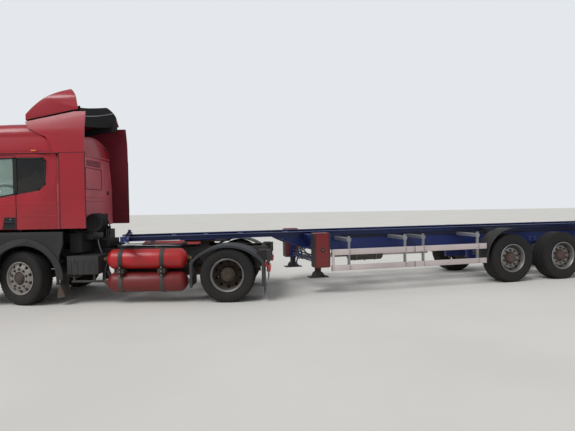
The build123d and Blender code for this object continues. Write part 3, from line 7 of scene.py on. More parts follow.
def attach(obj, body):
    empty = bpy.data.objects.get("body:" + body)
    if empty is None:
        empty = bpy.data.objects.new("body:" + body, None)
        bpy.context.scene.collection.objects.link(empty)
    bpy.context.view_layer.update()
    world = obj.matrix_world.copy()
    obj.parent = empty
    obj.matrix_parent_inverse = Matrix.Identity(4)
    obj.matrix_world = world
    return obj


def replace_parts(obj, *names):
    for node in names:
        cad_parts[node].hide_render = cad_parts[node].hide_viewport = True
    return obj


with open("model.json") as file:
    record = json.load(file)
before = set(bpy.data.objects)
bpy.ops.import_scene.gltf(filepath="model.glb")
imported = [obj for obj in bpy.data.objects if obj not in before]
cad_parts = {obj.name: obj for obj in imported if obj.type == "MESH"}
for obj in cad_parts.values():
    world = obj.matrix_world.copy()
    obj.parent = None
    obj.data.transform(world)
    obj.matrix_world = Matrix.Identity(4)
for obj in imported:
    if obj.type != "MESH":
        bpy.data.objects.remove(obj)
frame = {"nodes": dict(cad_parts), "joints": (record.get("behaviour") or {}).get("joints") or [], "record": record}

# Start-up objects that the file doesn't need
for spareName in ("Cube", "Light", "Camera"):
    spare = bpy.data.objects.get(spareName)
    if spare and spareName not in frame["nodes"]:
        bpy.data.objects.remove(spare)
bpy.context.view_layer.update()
print("Frame loaded")

# Places: sizes are metres from the kingpin, the tractor straight and the trailer in its own line
joints = {joint["name"]: joint for joint in frame["joints"]}
bodyOf = {
    node: body
    for body, members in frame["record"]["behaviour"]["bodies"].items()
    for node in members
}
kingpin = Vector(joints["trailer_swing"]["pos_m"])
kingpin.z = 0
trailerAxis = joints["wheel_trailer_1_left_spin"]["axis"]
trailerTurn = atan2(-trailerAxis[0], trailerAxis[1])
onTractor = Matrix.Translation(kingpin)
onTrailer = onTractor @ Matrix.Rotation(trailerTurn, 4, "Z")
bothSides = (-1, 1)

# Modelling helpers


def deselectAll():
    if bpy.context.object and bpy.context.object.mode != "OBJECT":
        bpy.ops.object.mode_set(mode="OBJECT")
    for obj in bpy.context.selected_objects:
        obj.select_set(False)


def pick(obj):
    deselectAll()
    obj.select_set(True)
    bpy.context.view_layer.objects.active = obj


def editAll(obj):
    pick(obj)
    bpy.ops.object.mode_set(mode="EDIT")
    bpy.ops.mesh.select_all(action="SELECT")


def leaveEdit():
    bpy.ops.object.mode_set(mode="OBJECT")


def applyModifier(obj, kind, **values):
    pick(obj)
    modifier = obj.modifiers.new(kind.title(), kind)
    for key, value in values.items():
        setattr(modifier, key, value)
    bpy.ops.object.modifier_apply(modifier=modifier.name)


def softenEdges(obj, width, segments=2, limit=35):
    if width:
        applyModifier(
            obj, "BEVEL", width=width, segments=segments, limit_method="ANGLE",
            angle_limit=radians(limit), use_clamp_overlap=True,
        )
    pick(obj)
    bpy.ops.object.shade_smooth_by_angle(angle=radians(limit))


def bakePlace(obj):
    obj.data.transform(obj.matrix_world)
    obj.matrix_world = Matrix.Identity(4)


def addBlock(x, y, z, soft=0.004, segments=2):
    deselectAll()
    bpy.ops.mesh.primitive_cube_add(
        size=1, location=((x[0] + x[1]) / 2, (y[0] + y[1]) / 2, (z[0] + z[1]) / 2),
        scale=(x[1] - x[0], y[1] - y[0], z[1] - z[0]),
    )
    block = bpy.context.object
    bakePlace(block)
    softenEdges(block, soft, segments)
    return block


def addRod(start, end, radius, sides=16, soft=0.0015, farRadius=None):
    deselectAll()
    line = Vector(end) - Vector(start)
    bpy.ops.mesh.primitive_cone_add(
        vertices=sides, radius1=radius, radius2=radius if farRadius is None else farRadius,
        depth=line.length,
    )
    rod = bpy.context.object
    rod.data.transform(
        Matrix.Translation((Vector(start) + Vector(end)) / 2)
        @ line.to_track_quat("Z", "Y").to_matrix().to_4x4()
    )
    softenEdges(rod, soft, 1, 40)
    return rod


def drawOutline(points):
    deselectAll()
    bpy.ops.mesh.primitive_circle_add(vertices=len(points), radius=1, fill_type="NGON")
    sheetPiece = bpy.context.object
    for vertex, point in zip(sheetPiece.data.vertices, points):
        vertex.co = point
    return sheetPiece


def pushOut(obj, reach):
    editAll(obj)
    bpy.ops.mesh.extrude_region_move(TRANSFORM_OT_translate={"value": reach})
    bpy.ops.mesh.select_all(action="SELECT")
    bpy.ops.mesh.normals_make_consistent(inside=False)
    leaveEdit()


def sidePlate(outline, yFrom, yTo, soft=0.003, segments=2):
    plate = drawOutline([(x, yFrom, z) for x, z in outline])
    pushOut(plate, (0, yTo - yFrom, 0))
    softenEdges(plate, soft, segments)
    return plate


def spinProfile(profile, steps):
    ring = drawOutline([(0, depth, radius) for depth, radius in profile])
    editAll(ring)
    bpy.ops.mesh.delete(type="ONLY_FACE")
    bpy.ops.mesh.select_all(action="SELECT")
    bpy.ops.mesh.spin(steps=steps, angle=2 * pi, center=(0, 0, 0), axis=(0, 1, 0))
    bpy.ops.mesh.select_all(action="SELECT")
    bpy.ops.mesh.remove_doubles(threshold=0.00005)
    bpy.ops.mesh.normals_make_consistent(inside=False)
    leaveEdit()
    return ring


def selectFaces(obj, test):
    editAll(obj)
    bpy.ops.mesh.select_mode(type="FACE")
    bpy.ops.mesh.select_all(action="DESELECT")
    leaveEdit()
    for face in obj.data.polygons:
        face.select = test(face.center, face.normal)
    bpy.ops.object.mode_set(mode="EDIT")


def copyOf(obj, matrix=None):
    twin = obj.copy()
    twin.data = obj.data.copy()
    bpy.context.scene.collection.objects.link(twin)
    if matrix is not None:
        twin.data.transform(matrix)
        if matrix.determinant() < 0:
            twin.data.flip_normals()
    return twin


def ringOf(obj, count, start=0.0):
    return [copyOf(obj, Matrix.Rotation(start + 2 * pi * turn / count, 4, "Y")) for turn in range(count)]


def joinAll(parts, name):
    deselectAll()
    for part in parts:
        part.select_set(True)
    bpy.context.view_layer.objects.active = parts[0]
    if len(parts) > 1:
        bpy.ops.object.join()
    joined = bpy.context.object
    joined.name = name
    joined.data.name = name
    return joined


def removeAll(*objs):
    for obj in objs:
        bpy.data.objects.remove(obj)


def mirrored(parts):
    flip = Matrix.Scale(-1, 4, (0, 1, 0))
    return parts + [copyOf(part, flip) for part in parts]


def paintWith(obj, finish):
    obj.data.materials.clear()
    obj.data.materials.append(finishes[finish])
    return obj


def settle(parts, name, body, finish, matrix=onTractor):
    if finish:
        for part in parts:
            paintWith(part, finish)
    piece = joinAll(parts, name)
    piece.data.transform(matrix)
    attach(piece, body)
    return piece


# Finishes


def tone(red, green, blue):
    channels = [value / 255 for value in (red, green, blue)]
    return tuple(c / 12.92 if c <= 0.04045 else ((c + 0.055) / 1.055) ** 2.4 for c in channels) + (1,)


def newGroup(name, inputs, output):
    group = bpy.data.node_groups.new(name, "ShaderNodeTree")
    for label, value in inputs.items():
        socket = group.interface.new_socket(name=label, in_out="INPUT", socket_type="NodeSocketFloat")
        socket.default_value = value
    group.interface.new_socket(name=output, in_out="OUTPUT", socket_type="NodeSocketFloat")
    return group, group.nodes.new("NodeGroupInput"), group.nodes.new("NodeGroupOutput")


def mathNode(tree, operation, first, second=None, clamp=False):
    node = tree.nodes.new("ShaderNodeMath")
    node.operation = operation
    node.use_clamp = clamp
    for socket, value in zip(node.inputs, (first, second)):
        if value is None:
            continue
        if isinstance(value, (int, float)):
            socket.default_value = value
        else:
            tree.links.new(value, socket)
    return node.outputs[0]


def noiseNode(tree, vector, scale, detail=3.0, roughness=0.55):
    node = tree.nodes.new("ShaderNodeTexNoise")
    node.inputs["Detail"].default_value = detail
    node.inputs["Roughness"].default_value = roughness
    tree.links.new(vector, node.inputs["Vector"])
    if isinstance(scale, (int, float)):
        node.inputs["Scale"].default_value = scale
    else:
        tree.links.new(scale, node.inputs["Scale"])
    return node.outputs["Fac"]


def stretched(tree, vector, scale):
    node = tree.nodes.new("ShaderNodeMapping")
    node.inputs["Scale"].default_value = scale
    tree.links.new(vector, node.inputs["Vector"])
    return node.outputs["Vector"]


def rangeNode(tree, value, low, high, toLow=0.0, toHigh=1.0):
    node = tree.nodes.new("ShaderNodeMapRange")
    node.interpolation_type = "SMOOTHSTEP"
    for socket, entry in zip(node.inputs[:5], (value, low, high, toLow, toHigh)):
        if isinstance(entry, (int, float)):
            socket.default_value = entry
        else:
            tree.links.new(entry, socket)
    return node.outputs["Result"]


# Road dust: thick low down and on top faces, broken up by noise
roadDust, dustIn, dustOut = newGroup("RoadDust", {"Floor": 0.3, "Ceiling": 1.4, "Top": 0.3}, "Mask")
dustPlace = roadDust.nodes.new("ShaderNodeTexCoord").outputs["Object"]
dustAxes = roadDust.nodes.new("ShaderNodeSeparateXYZ")
roadDust.links.new(dustPlace, dustAxes.inputs[0])
dustHeight = rangeNode(
    roadDust, dustAxes.outputs["Z"], dustIn.outputs["Floor"], dustIn.outputs["Ceiling"], 1, 0
)
dustCloud = rangeNode(roadDust, noiseNode(roadDust, dustPlace, 5.5, 5, 0.6), 0.3, 0.7, 0.45, 1.15)
dustSpray = rangeNode(roadDust, noiseNode(roadDust, dustPlace, 60, 3), 0.35, 0.65, 0.75, 1.1)
dustFacing = roadDust.nodes.new("ShaderNodeSeparateXYZ")
roadDust.links.new(roadDust.nodes.new("ShaderNodeNewGeometry").outputs["Normal"], dustFacing.inputs[0])
dustUp = rangeNode(roadDust, dustFacing.outputs["Z"], 0.35, 0.95)
dustOnTop = mathNode(roadDust, "MULTIPLY", dustUp, dustIn.outputs["Top"])
dustAll = mathNode(roadDust, "MULTIPLY", mathNode(roadDust, "ADD", dustHeight, dustOnTop), dustCloud)
roadDust.links.new(mathNode(roadDust, "MULTIPLY", dustAll, dustSpray, clamp=True), dustOut.inputs["Mask"])

# Rain streaks: long upright stains
rainStreaks, streakIn, streakOut = newGroup("RainStreaks", {"Density": 0.5}, "Mask")
streakPlace = rainStreaks.nodes.new("ShaderNodeTexCoord").outputs["Object"]
streakLine = noiseNode(rainStreaks, stretched(rainStreaks, streakPlace, (17, 17, 0.8)), 1, 4, 0.6)
streakPatch = noiseNode(rainStreaks, streakPlace, 2.1, 2)
streakDepth = mathNode(rainStreaks, "MULTIPLY", streakIn.outputs["Density"], 0.4)
streakEdge = mathNode(rainStreaks, "SUBTRACT", 0.78, streakDepth)
streakSum = mathNode(rainStreaks, "MULTIPLY", mathNode(rainStreaks, "ADD", streakLine, streakPatch), 0.5)
streakHigh = mathNode(rainStreaks, "ADD", streakEdge, 0.16)
streakLow = mathNode(rainStreaks, "SUBTRACT", streakEdge, 0.06)
streakMask = rangeNode(rainStreaks, streakSum, streakLow, streakHigh)
rainStreaks.links.new(streakMask, streakOut.inputs["Mask"])

# Stone chips and scratches
chipMarks, chipIn, chipOut = newGroup("ChipMarks", {"Size": 60.0, "Amount": 0.3}, "Mask")
chipPlace = chipMarks.nodes.new("ShaderNodeTexCoord").outputs["Object"]
chipFine = noiseNode(chipMarks, chipPlace, chipIn.outputs["Size"], 4, 0.7)
chipPatch = noiseNode(chipMarks, chipPlace, 3.3, 2)
chipFineShare = mathNode(chipMarks, "MULTIPLY", chipFine, 0.7)
chipPatchShare = mathNode(chipMarks, "MULTIPLY", chipPatch, 0.3)
chipSum = mathNode(chipMarks, "ADD", chipFineShare, chipPatchShare)
chipDepth = mathNode(chipMarks, "MULTIPLY", chipIn.outputs["Amount"], 0.25)
chipEdge = mathNode(chipMarks, "SUBTRACT", 0.74, chipDepth)
chipHigh = mathNode(chipMarks, "ADD", chipEdge, 0.035)
chipMask = rangeNode(chipMarks, chipSum, chipEdge, chipHigh)
chipMarks.links.new(chipMask, chipOut.inputs["Mask"])

# Slow drift of a colour over a panel
toneDrift, driftIn, driftOut = newGroup("ToneDrift", {"Size": 1.3}, "Mask")
driftPlace = toneDrift.nodes.new("ShaderNodeTexCoord").outputs["Object"]
driftNoise = noiseNode(toneDrift, driftPlace, driftIn.outputs["Size"], 4, 0.5)
toneDrift.links.new(rangeNode(toneDrift, driftNoise, 0.3, 0.7), driftOut.inputs["Mask"])

# Fine relief: orange peel, cast skin, plastic grain
fineRelief, reliefIn, reliefOut = newGroup("FineRelief", {"Size": 300.0, "Dents": 0.2}, "Height")
reliefPlace = fineRelief.nodes.new("ShaderNodeTexCoord").outputs["Object"]
reliefFine = noiseNode(fineRelief, reliefPlace, reliefIn.outputs["Size"], 3)
reliefWave = noiseNode(fineRelief, reliefPlace, 7, 2)
reliefDent = mathNode(fineRelief, "MULTIPLY", reliefWave, reliefIn.outputs["Dents"])
fineRelief.links.new(mathNode(fineRelief, "ADD", reliefFine, reliefDent), reliefOut.inputs["Height"])

dustTone = tone(140, 126, 108)
looks = {
    "cabRed": {
        "main": tone(164, 8, 32), "second": tone(150, 8, 30), "rough": 0.36, "coat": 0.3, "peel": 220,
        "depth": 0.0006, "dust": 0.06, "reach": (0.9, 2.3), "top": 0.2, "streak": 0.3,
        "streakTone": tone(112, 30, 38), "chip": 0.05, "chipTone": tone(96, 40, 40),
    },
    "cabRedDull": {
        "main": tone(204, 88, 102), "second": tone(188, 76, 90), "rough": 0.5, "peel": 220,
        "depth": 0.0008, "dust": 0.1, "reach": (0.9, 3.4), "top": 0.35, "streak": 0.4,
        "streakTone": tone(88, 34, 38), "chip": 0.1, "chipTone": tone(90, 44, 44),
    },
    # Dark maroon for the side deflectors' inward faces and the rear wall's recess frame: painted shade
    "cabRedPaintedShade": {
        "main": tone(122, 18, 42), "second": tone(108, 16, 36), "rough": 0.6, "peel": 220, "depth": 0.0008,
        "dust": 0.1, "reach": (0.9, 3.4), "top": 0.2, "streak": 0.2, "streakTone": tone(60, 24, 30),
        "chip": 0.05, "chipTone": tone(70, 34, 36),
    },
    "tankRed": {
        "main": tone(178, 16, 24), "second": tone(160, 15, 22), "rough": 0.42, "coat": 0.2, "peel": 260,
        "depth": 0.0008, "dust": 0.12, "reach": (0.1, 1.0), "top": 0.3, "streak": 0.3,
        "streakTone": tone(96, 40, 36), "chip": 0.22, "chipTone": tone(84, 52, 44),
    },
    # Darker red for the lower gas cylinder's faces: painted shade
    "tankPaintedShade": {
        "main": tone(112, 8, 14), "second": tone(98, 8, 13), "rough": 0.5, "coat": 0.1, "peel": 260,
        "depth": 0.0008, "dust": 0.06, "reach": (0.1, 1.0), "top": 0.2, "streak": 0.35,
        "streakTone": tone(80, 36, 32), "chip": 0.22, "chipTone": tone(74, 46, 40),
    },
    "chassisBlue": {
        "main": tone(8, 34, 100), "second": tone(7, 28, 82), "rough": 0.45, "coat": 0.1, "peel": 240,
        "depth": 0.0008, "dust": 0.05, "reach": (0.3, 1.25), "top": 0.1, "streak": 0.2,
        "streakTone": tone(36, 40, 56), "chip": 0.12, "chipTone": tone(88, 66, 54),
    },
    "frameDark": {
        "main": tone(38, 38, 42), "second": tone(46, 42, 40), "rough": 0.62, "peel": 180, "depth": 0.0012,
        "dust": 0.22, "reach": (0.2, 1.2), "top": 0.4, "streak": 0.3, "streakTone": tone(74, 54, 42),
        "chip": 0.2, "chipTone": tone(96, 62, 44),
    },
    "caseRed": {
        "main": tone(120, 10, 20), "second": tone(104, 10, 18), "rough": 0.4, "coat": 0.15, "peel": 200,
        "depth": 0.0008, "dust": 0.08, "reach": (0.3, 1.3), "top": 0.3, "streak": 0.35,
        "streakTone": tone(84, 26, 28), "chip": 0.08, "chipTone": tone(110, 60, 56),
    },
    "greyPlastic": {
        "main": tone(38, 37, 40), "second": tone(33, 32, 35), "rough": 0.6, "peel": 420, "depth": 0.0012,
        "dust": 0.08, "reach": (0.2, 1.3), "top": 0.3, "streak": 0.25, "streakTone": tone(80, 74, 68),
        "chip": 0.04, "chipTone": tone(100, 96, 90),
    },
    "blackPlastic": {
        "main": tone(26, 26, 29), "second": tone(31, 31, 33), "rough": 0.58, "peel": 420, "depth": 0.0012,
        "dust": 0.08, "reach": (0.2, 1.35), "top": 0.3, "streak": 0.25, "streakTone": tone(70, 64, 58),
        "chip": 0.05, "chipTone": tone(90, 86, 80),
    },
    "fenderBlue": {
        "main": tone(34, 38, 46), "second": tone(40, 43, 50), "rough": 0.52, "peel": 360, "depth": 0.001,
        "dust": 0.12, "reach": (0.2, 1.1), "top": 0.35, "streak": 0.3, "streakTone": tone(72, 68, 66),
        "chip": 0.05, "chipTone": tone(92, 88, 84),
    },
    "guardAluminium": {
        "main": tone(214, 200, 198), "second": tone(196, 184, 184), "rough": 0.42, "metal": 0.35, "peel": 90,
        "depth": 0.0006, "dust": 0.12, "reach": (0.3, 1.0), "top": 0.15, "streak": 0.4,
        "streakTone": tone(150, 138, 130), "chip": 0.05, "chipTone": tone(130, 124, 120),
    },
    "galvanised": {
        "main": tone(162, 164, 168), "second": tone(136, 138, 144), "rough": 0.42, "metal": 0.7, "peel": 70,
        "depth": 0.0008, "dust": 0.3, "reach": (0.3, 1.2), "top": 0.2, "streak": 0.3,
        "streakTone": tone(110, 100, 92), "chip": 0.1, "chipTone": tone(120, 84, 60),
    },
    "castDark": {
        "main": tone(44, 38, 36), "second": tone(60, 46, 38), "rough": 0.72, "peel": 120, "depth": 0.002,
        "dust": 0.3, "reach": (0.1, 1.2), "top": 0.3, "streak": 0.3, "streakTone": tone(92, 58, 38),
        "chip": 0.3, "chipTone": tone(104, 62, 40),
    },
    "rimFront": {
        "main": tone(150, 146, 142), "second": tone(124, 118, 112), "rough": 0.6, "metal": 0.3, "peel": 140,
        "depth": 0.001, "dust": 0.12, "reach": (0.1, 1.3), "top": 0.1, "streak": 0.5,
        "streakTone": tone(84, 66, 52), "chip": 0.25, "chipTone": tone(92, 58, 40),
    },
    "rimDark": {
        "main": tone(44, 34, 30), "second": tone(34, 27, 25), "rough": 0.66, "metal": 0.15, "peel": 140,
        "depth": 0.0015, "dust": 0.35, "reach": (0.1, 1.3), "top": 0.1, "streak": 0.5,
        "streakTone": tone(84, 56, 42), "chip": 0.35, "chipTone": tone(104, 66, 46),
    },
    "rimSilver": {
        "main": tone(150, 149, 152), "second": tone(132, 130, 132), "rough": 0.38, "metal": 0.7, "peel": 120,
        "depth": 0.0008, "dust": 0.25, "reach": (0.0, 1.2), "top": 0.1, "streak": 0.3,
        "streakTone": tone(118, 108, 100), "chip": 0.1, "chipTone": tone(110, 92, 80),
    },
    "hubRust": {
        "main": tone(66, 38, 36), "second": tone(50, 32, 30), "rough": 0.75, "peel": 110, "depth": 0.002,
        "dust": 0.3, "reach": (0.1, 1.2), "top": 0.2, "streak": 0.4, "streakTone": tone(110, 66, 44),
        "chip": 0.3, "chipTone": tone(52, 40, 36),
    },
    "tyreRubber": {
        "main": tone(14, 13, 14), "second": tone(20, 18, 19), "rough": 0.82, "peel": 150, "depth": 0.0012,
        "dust": 0.04, "reach": (-0.2, 1.6), "top": 0.2, "streak": 0.1, "streakTone": tone(70, 64, 58),
        "chip": 0.0, "chipTone": tone(60, 56, 52),
    },
    "seatCloth": {
        "main": tone(52, 54, 62), "second": tone(62, 62, 70), "rough": 0.92, "peel": 620, "depth": 0.002,
        "dust": 0.05, "reach": (0.0, 1.0), "top": 0.1, "streak": 0.0, "streakTone": tone(60, 60, 60),
        "chip": 0.0, "chipTone": tone(70, 70, 74),
    },
    "brassDull": {
        "main": tone(172, 136, 74), "second": tone(140, 104, 58), "rough": 0.4, "metal": 0.8, "peel": 100,
        "depth": 0.0006, "dust": 0.35, "reach": (0.1, 1.3), "top": 0.2, "streak": 0.3,
        "streakTone": tone(96, 76, 50), "chip": 0.1, "chipTone": tone(84, 64, 44),
    },
    "redLens": {
        "main": tone(198, 20, 22), "second": tone(176, 14, 18), "rough": 0.18, "coat": 0.6, "peel": 160,
        "depth": 0.0012, "dust": 0.2, "reach": (0.2, 1.0), "top": 0.2, "streak": 0.2,
        "streakTone": tone(110, 30, 28), "chip": 0.0, "chipTone": tone(90, 20, 20),
    },
    "amberLens": {
        "main": tone(226, 120, 24), "second": tone(206, 100, 18), "rough": 0.18, "coat": 0.6, "peel": 160,
        "depth": 0.0012, "dust": 0.2, "reach": (0.2, 1.0), "top": 0.2, "streak": 0.2,
        "streakTone": tone(130, 74, 30), "chip": 0.0, "chipTone": tone(90, 50, 20),
    },
    "deepBlack": {
        "main": tone(17, 17, 19), "second": tone(23, 22, 24), "rough": 0.7, "peel": 300, "depth": 0.001,
        "dust": 0.15, "reach": (0.2, 1.4), "top": 0.25, "streak": 0.1, "streakTone": tone(40, 36, 34),
        "chip": 0.0, "chipTone": tone(40, 38, 36),
    },
}


def groupNode(tree, group, **values):
    node = tree.nodes.new("ShaderNodeGroup")
    node.node_tree = group
    for label, value in values.items():
        node.inputs[label].default_value = value
    return node.outputs[0]


def mixTone(tree, mask, first, second):
    node = tree.nodes.new("ShaderNodeMix")
    node.data_type = "RGBA"
    tree.links.new(mask, node.inputs["Factor"])
    for socket, value in ((node.inputs[6], first), (node.inputs[7], second)):
        if isinstance(value, tuple):
            socket.default_value = value
        else:
            tree.links.new(value, socket)
    return node.outputs[2]


def makeFinish(name, look):
    material = bpy.data.materials.new(name)
    material.use_nodes = True
    tree = material.node_tree
    shader = tree.nodes["Principled BSDF"]
    drift = groupNode(tree, toneDrift, Size=1.3)
    streak = groupNode(tree, rainStreaks, Density=look["streak"])
    chip = groupNode(tree, chipMarks, Size=look["peel"] * 0.3, Amount=look["chip"])
    floorZ, ceilingZ = look["reach"]
    dust = groupNode(tree, roadDust, Floor=floorZ, Ceiling=ceilingZ, Top=look["top"])
    dustShare = mathNode(tree, "MULTIPLY", dust, look["dust"], clamp=True)
    streakShare = mathNode(tree, "MULTIPLY", streak, min(1.0, look["streak"] * 1.4), clamp=True)
    colour = mixTone(tree, drift, look["main"], look["second"])
    colour = mixTone(tree, streakShare, colour, look["streakTone"])
    colour = mixTone(tree, chip, colour, look["chipTone"])
    colour = mixTone(tree, dustShare, colour, dustTone)
    tree.links.new(colour, shader.inputs["Base Color"])
    wear = mathNode(tree, "ADD", dustShare, mathNode(tree, "MULTIPLY", streakShare, 0.5))
    roughness = mathNode(tree, "ADD", mathNode(tree, "MULTIPLY", wear, 0.4), look["rough"], clamp=True)
    tree.links.new(roughness, shader.inputs["Roughness"])
    shader.inputs["Metallic"].default_value = look.get("metal", 0.0)
    shader.inputs["Coat Weight"].default_value = look.get("coat", 0.0)
    shader.inputs["Coat Roughness"].default_value = 0.12
    relief = groupNode(tree, fineRelief, Size=look["peel"], Dents=0.25)
    bump = tree.nodes.new("ShaderNodeBump")
    bump.inputs["Strength"].default_value = 0.5
    bump.inputs["Distance"].default_value = look["depth"]
    tree.links.new(relief, bump.inputs["Height"])
    tree.links.new(bump.outputs["Normal"], shader.inputs["Normal"])
    return material


def makeGlass(name, colour, clear, haze):
    material = bpy.data.materials.new(name)
    material.use_nodes = True
    tree = material.node_tree
    shader = tree.nodes["Principled BSDF"]
    dust = groupNode(tree, roadDust, Floor=1.6, Ceiling=2.9, Top=0.2)
    dustShare = mathNode(tree, "MULTIPLY", dust, haze, clamp=True)
    tree.links.new(mixTone(tree, dustShare, colour, dustTone), shader.inputs["Base Color"])
    roughness = mathNode(tree, "ADD", mathNode(tree, "MULTIPLY", dustShare, 0.5), 0.03)
    tree.links.new(roughness, shader.inputs["Roughness"])
    shader.inputs["IOR"].default_value = 1.45
    shader.inputs["Transmission Weight"].default_value = clear
    relief = groupNode(tree, fineRelief, Size=3.0, Dents=0.5)
    bump = tree.nodes.new("ShaderNodeBump")
    bump.inputs["Strength"].default_value = 0.15
    bump.inputs["Distance"].default_value = 0.004
    tree.links.new(relief, bump.inputs["Height"])
    tree.links.new(bump.outputs["Normal"], shader.inputs["Normal"])
    return material


finishes = {name: makeFinish(name, look) for name, look in looks.items()}
finishes["clearGlass"] = makeGlass("clearGlass", tone(196, 214, 208), 0.85, 0.12)
finishes["smokedGlass"] = makeGlass("smokedGlass", tone(20, 22, 26), 0.25, 0.12)
finishes["lensGlass"] = makeGlass("lensGlass", tone(236, 240, 242), 0.8, 0.15)
finishes["mirrorGlass"] = makeFinish("mirrorGlass", {
    **looks["rimSilver"], "main": tone(200, 206, 212), "second": tone(190, 196, 204), "rough": 0.05,
    "metal": 1.0, "dust": 0.05, "streak": 0.05, "chip": 0.0,
})
print("Finishes made")

# Floor, light and camera
studio = {
    "floorTone": tone(214, 211, 205), "floorPatch": tone(208, 205, 199), "floorRough": 0.85, "floorHalf": 90,
    "skyTone": tone(228, 232, 236), "skyLight": 0.62, "sunLight": 1.9, "sunSpread": 35,
    "sunAngles": (38, -14, -24),
}
deselectAll()
bpy.ops.mesh.primitive_plane_add(size=2 * studio["floorHalf"], location=(0, 0, 0))
floor = bpy.context.object
floor.name = "floor"
floorMaterial = bpy.data.materials.new("paleFloor")
floorMaterial.use_nodes = True
floorTree = floorMaterial.node_tree
floorShader = floorTree.nodes["Principled BSDF"]
floorMask = groupNode(floorTree, toneDrift, Size=0.35)
floorTree.links.new(
    mixTone(floorTree, floorMask, studio["floorTone"], studio["floorPatch"]), floorShader.inputs["Base Color"]
)
floorShader.inputs["Roughness"].default_value = studio["floorRough"]
floor.data.materials.append(floorMaterial)

world = bpy.data.worlds.new("studio") if not bpy.context.scene.world else bpy.context.scene.world
bpy.context.scene.world = world
world.use_nodes = True
skyTree = world.node_tree
skyShade = skyTree.nodes["Background"]
skyShade.inputs["Color"].default_value = studio["skyTone"]
skyRays = skyTree.nodes.new("ShaderNodeLightPath")
skySeen = mathNode(
    skyTree, "MAXIMUM", skyRays.outputs["Is Camera Ray"], skyRays.outputs["Is Transmission Ray"]
)
skyTree.links.new(rangeNode(skyTree, skySeen, 0, 1, studio["skyLight"], 1.0), skyShade.inputs["Strength"])

sunLamp = bpy.data.lights.new("softSun", "SUN")
sunLamp.energy = studio["sunLight"]
sunLamp.angle = radians(studio["sunSpread"])
sun = bpy.data.objects.new("softSun", sunLamp)
sun.rotation_euler = [radians(angle) for angle in studio["sunAngles"]]
bpy.context.scene.collection.objects.link(sun)

view = {"place": (1.66, -10.233, 1.762), "yaw": -0.046, "pitch": -1.322, "roll": -0.953, "lens": 31.52}
yaw, pitch, roll = (radians(view[key]) for key in ("yaw", "pitch", "roll"))
ahead = Vector((sin(yaw) * cos(pitch), cos(yaw) * cos(pitch), sin(pitch)))
level = Vector((cos(yaw), -sin(yaw), 0))
upright = level.cross(ahead)
lensRight = cos(roll) * level + sin(roll) * upright
lensUp = cos(roll) * upright - sin(roll) * level
cameraData = bpy.data.cameras.new("photoCamera")
cameraData.lens = view["lens"]
cameraData.sensor_fit = "HORIZONTAL"
cameraData.sensor_width = 36
cameraData.clip_end = 400
camera = bpy.data.objects.new("photoCamera", cameraData)
cameraTurn = Matrix((lensRight, lensUp, -ahead)).transposed().to_4x4()
camera.matrix_world = Matrix.Translation(kingpin + Vector(view["place"])) @ cameraTurn
bpy.context.scene.collection.objects.link(camera)
bpy.context.scene.camera = camera
bpy.context.scene.view_settings.view_transform = "Standard"
print("Studio set")

# Construction pieces that keep their shape: finish, and how far their edges are eased
dressed = {
    "tractor_rails": ("frameDark", 0.003), "tractor_cross_members": ("frameDark", 0.003),
    "engine": ("castDark", 0.012), "front_axle": ("frameDark", 0.006),
    "tractor_suspension": ("frameDark", 0.003), "drive_axle": ("castDark", 0.006),
    "fifth_wheel": ("castDark", 0.005), "cab_front": ("cabRed", 0.004), "cab_sides": ("cabRed", 0.004),
    "cab_rear": ("cabRedDull", 0.006), "cab_roof": ("cabRed", 0.006), "cab_floor": ("greyPlastic", 0.004),
    "windscreen": ("clearGlass", 0.001), "quarter_windows": ("smokedGlass", 0.001),
    "door_left": ("cabRed", 0.003), "door_right": ("cabRed", 0.003),
    "door_glass_left": ("clearGlass", 0.001), "door_glass_right": ("clearGlass", 0.001),
    "mirror_left": ("blackPlastic", 0.008), "mirror_right": ("blackPlastic", 0.008),
    "dashboard": ("greyPlastic", 0.006), "roof_deflector": ("cabRed", 0.006),
    "side_deflectors": ("cabRed", 0.0), "bumper": ("greyPlastic", 0.006),
    "front_fenders": ("blackPlastic", 0.004), "gas_tanks": ("tankRed", 0.0),
    "tank_brackets": ("frameDark", 0.002), "battery_box": ("greyPlastic", 0.006),
    "rear_fenders": ("fenderBlue", 0.003), "air_intake": ("blackPlastic", 0.01),
    "knuckle_left": ("castDark", 0.004), "knuckle_right": ("castDark", 0.004),
    "tie_rod": ("frameDark", 0.002),
    "trailer_beams": ("chassisBlue", 0.002), "coupler_plate": ("chassisBlue", 0.002),
    "trailer_cross_members": ("chassisBlue", 0.003), "bolsters": ("chassisBlue", 0.003),
    "landing_gear": ("chassisBlue", 0.003), "extinguisher_boxes": ("caseRed", 0.012),
    "side_guards": ("guardAluminium", 0.005), "guard_brackets": ("galvanised", 0.004),
    "mudguards": ("blackPlastic", 0.002), "trailer_axles": ("castDark", 0.006),
    "trailer_suspension": ("chassisBlue", 0.004), "air_tanks": ("frameDark", 0.0),
    "rear_bumper": ("chassisBlue", 0.005), "trailer_lamps": ("redLens", 0.01),
}


def dress(node, finish, soft):
    piece = copyOf(frame["nodes"][node])
    piece.parent = None
    for key in list(piece.keys()):
        del piece[key]
    pick(piece)
    bpy.ops.mesh.customdata_custom_splitnormals_clear()
    editAll(piece)
    bpy.ops.mesh.remove_doubles(threshold=0.00005)
    bpy.ops.mesh.dissolve_limited(angle_limit=radians(0.3))
    leaveEdit()
    if soft:
        applyModifier(
            piece, "BEVEL", width=soft, segments=2, limit_method="ANGLE", angle_limit=radians(40),
            use_clamp_overlap=False,
        )
    pick(piece)
    bpy.ops.object.shade_smooth_by_angle(angle=radians(30))
    paintWith(piece, finish)
    piece.name = node + "_shell"
    piece.data.name = piece.name
    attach(piece, bodyOf[node])
    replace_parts(piece, node)
    return piece


shells = {node: dress(node, *values) for node, values in dressed.items()}
print("Construction pieces dressed")

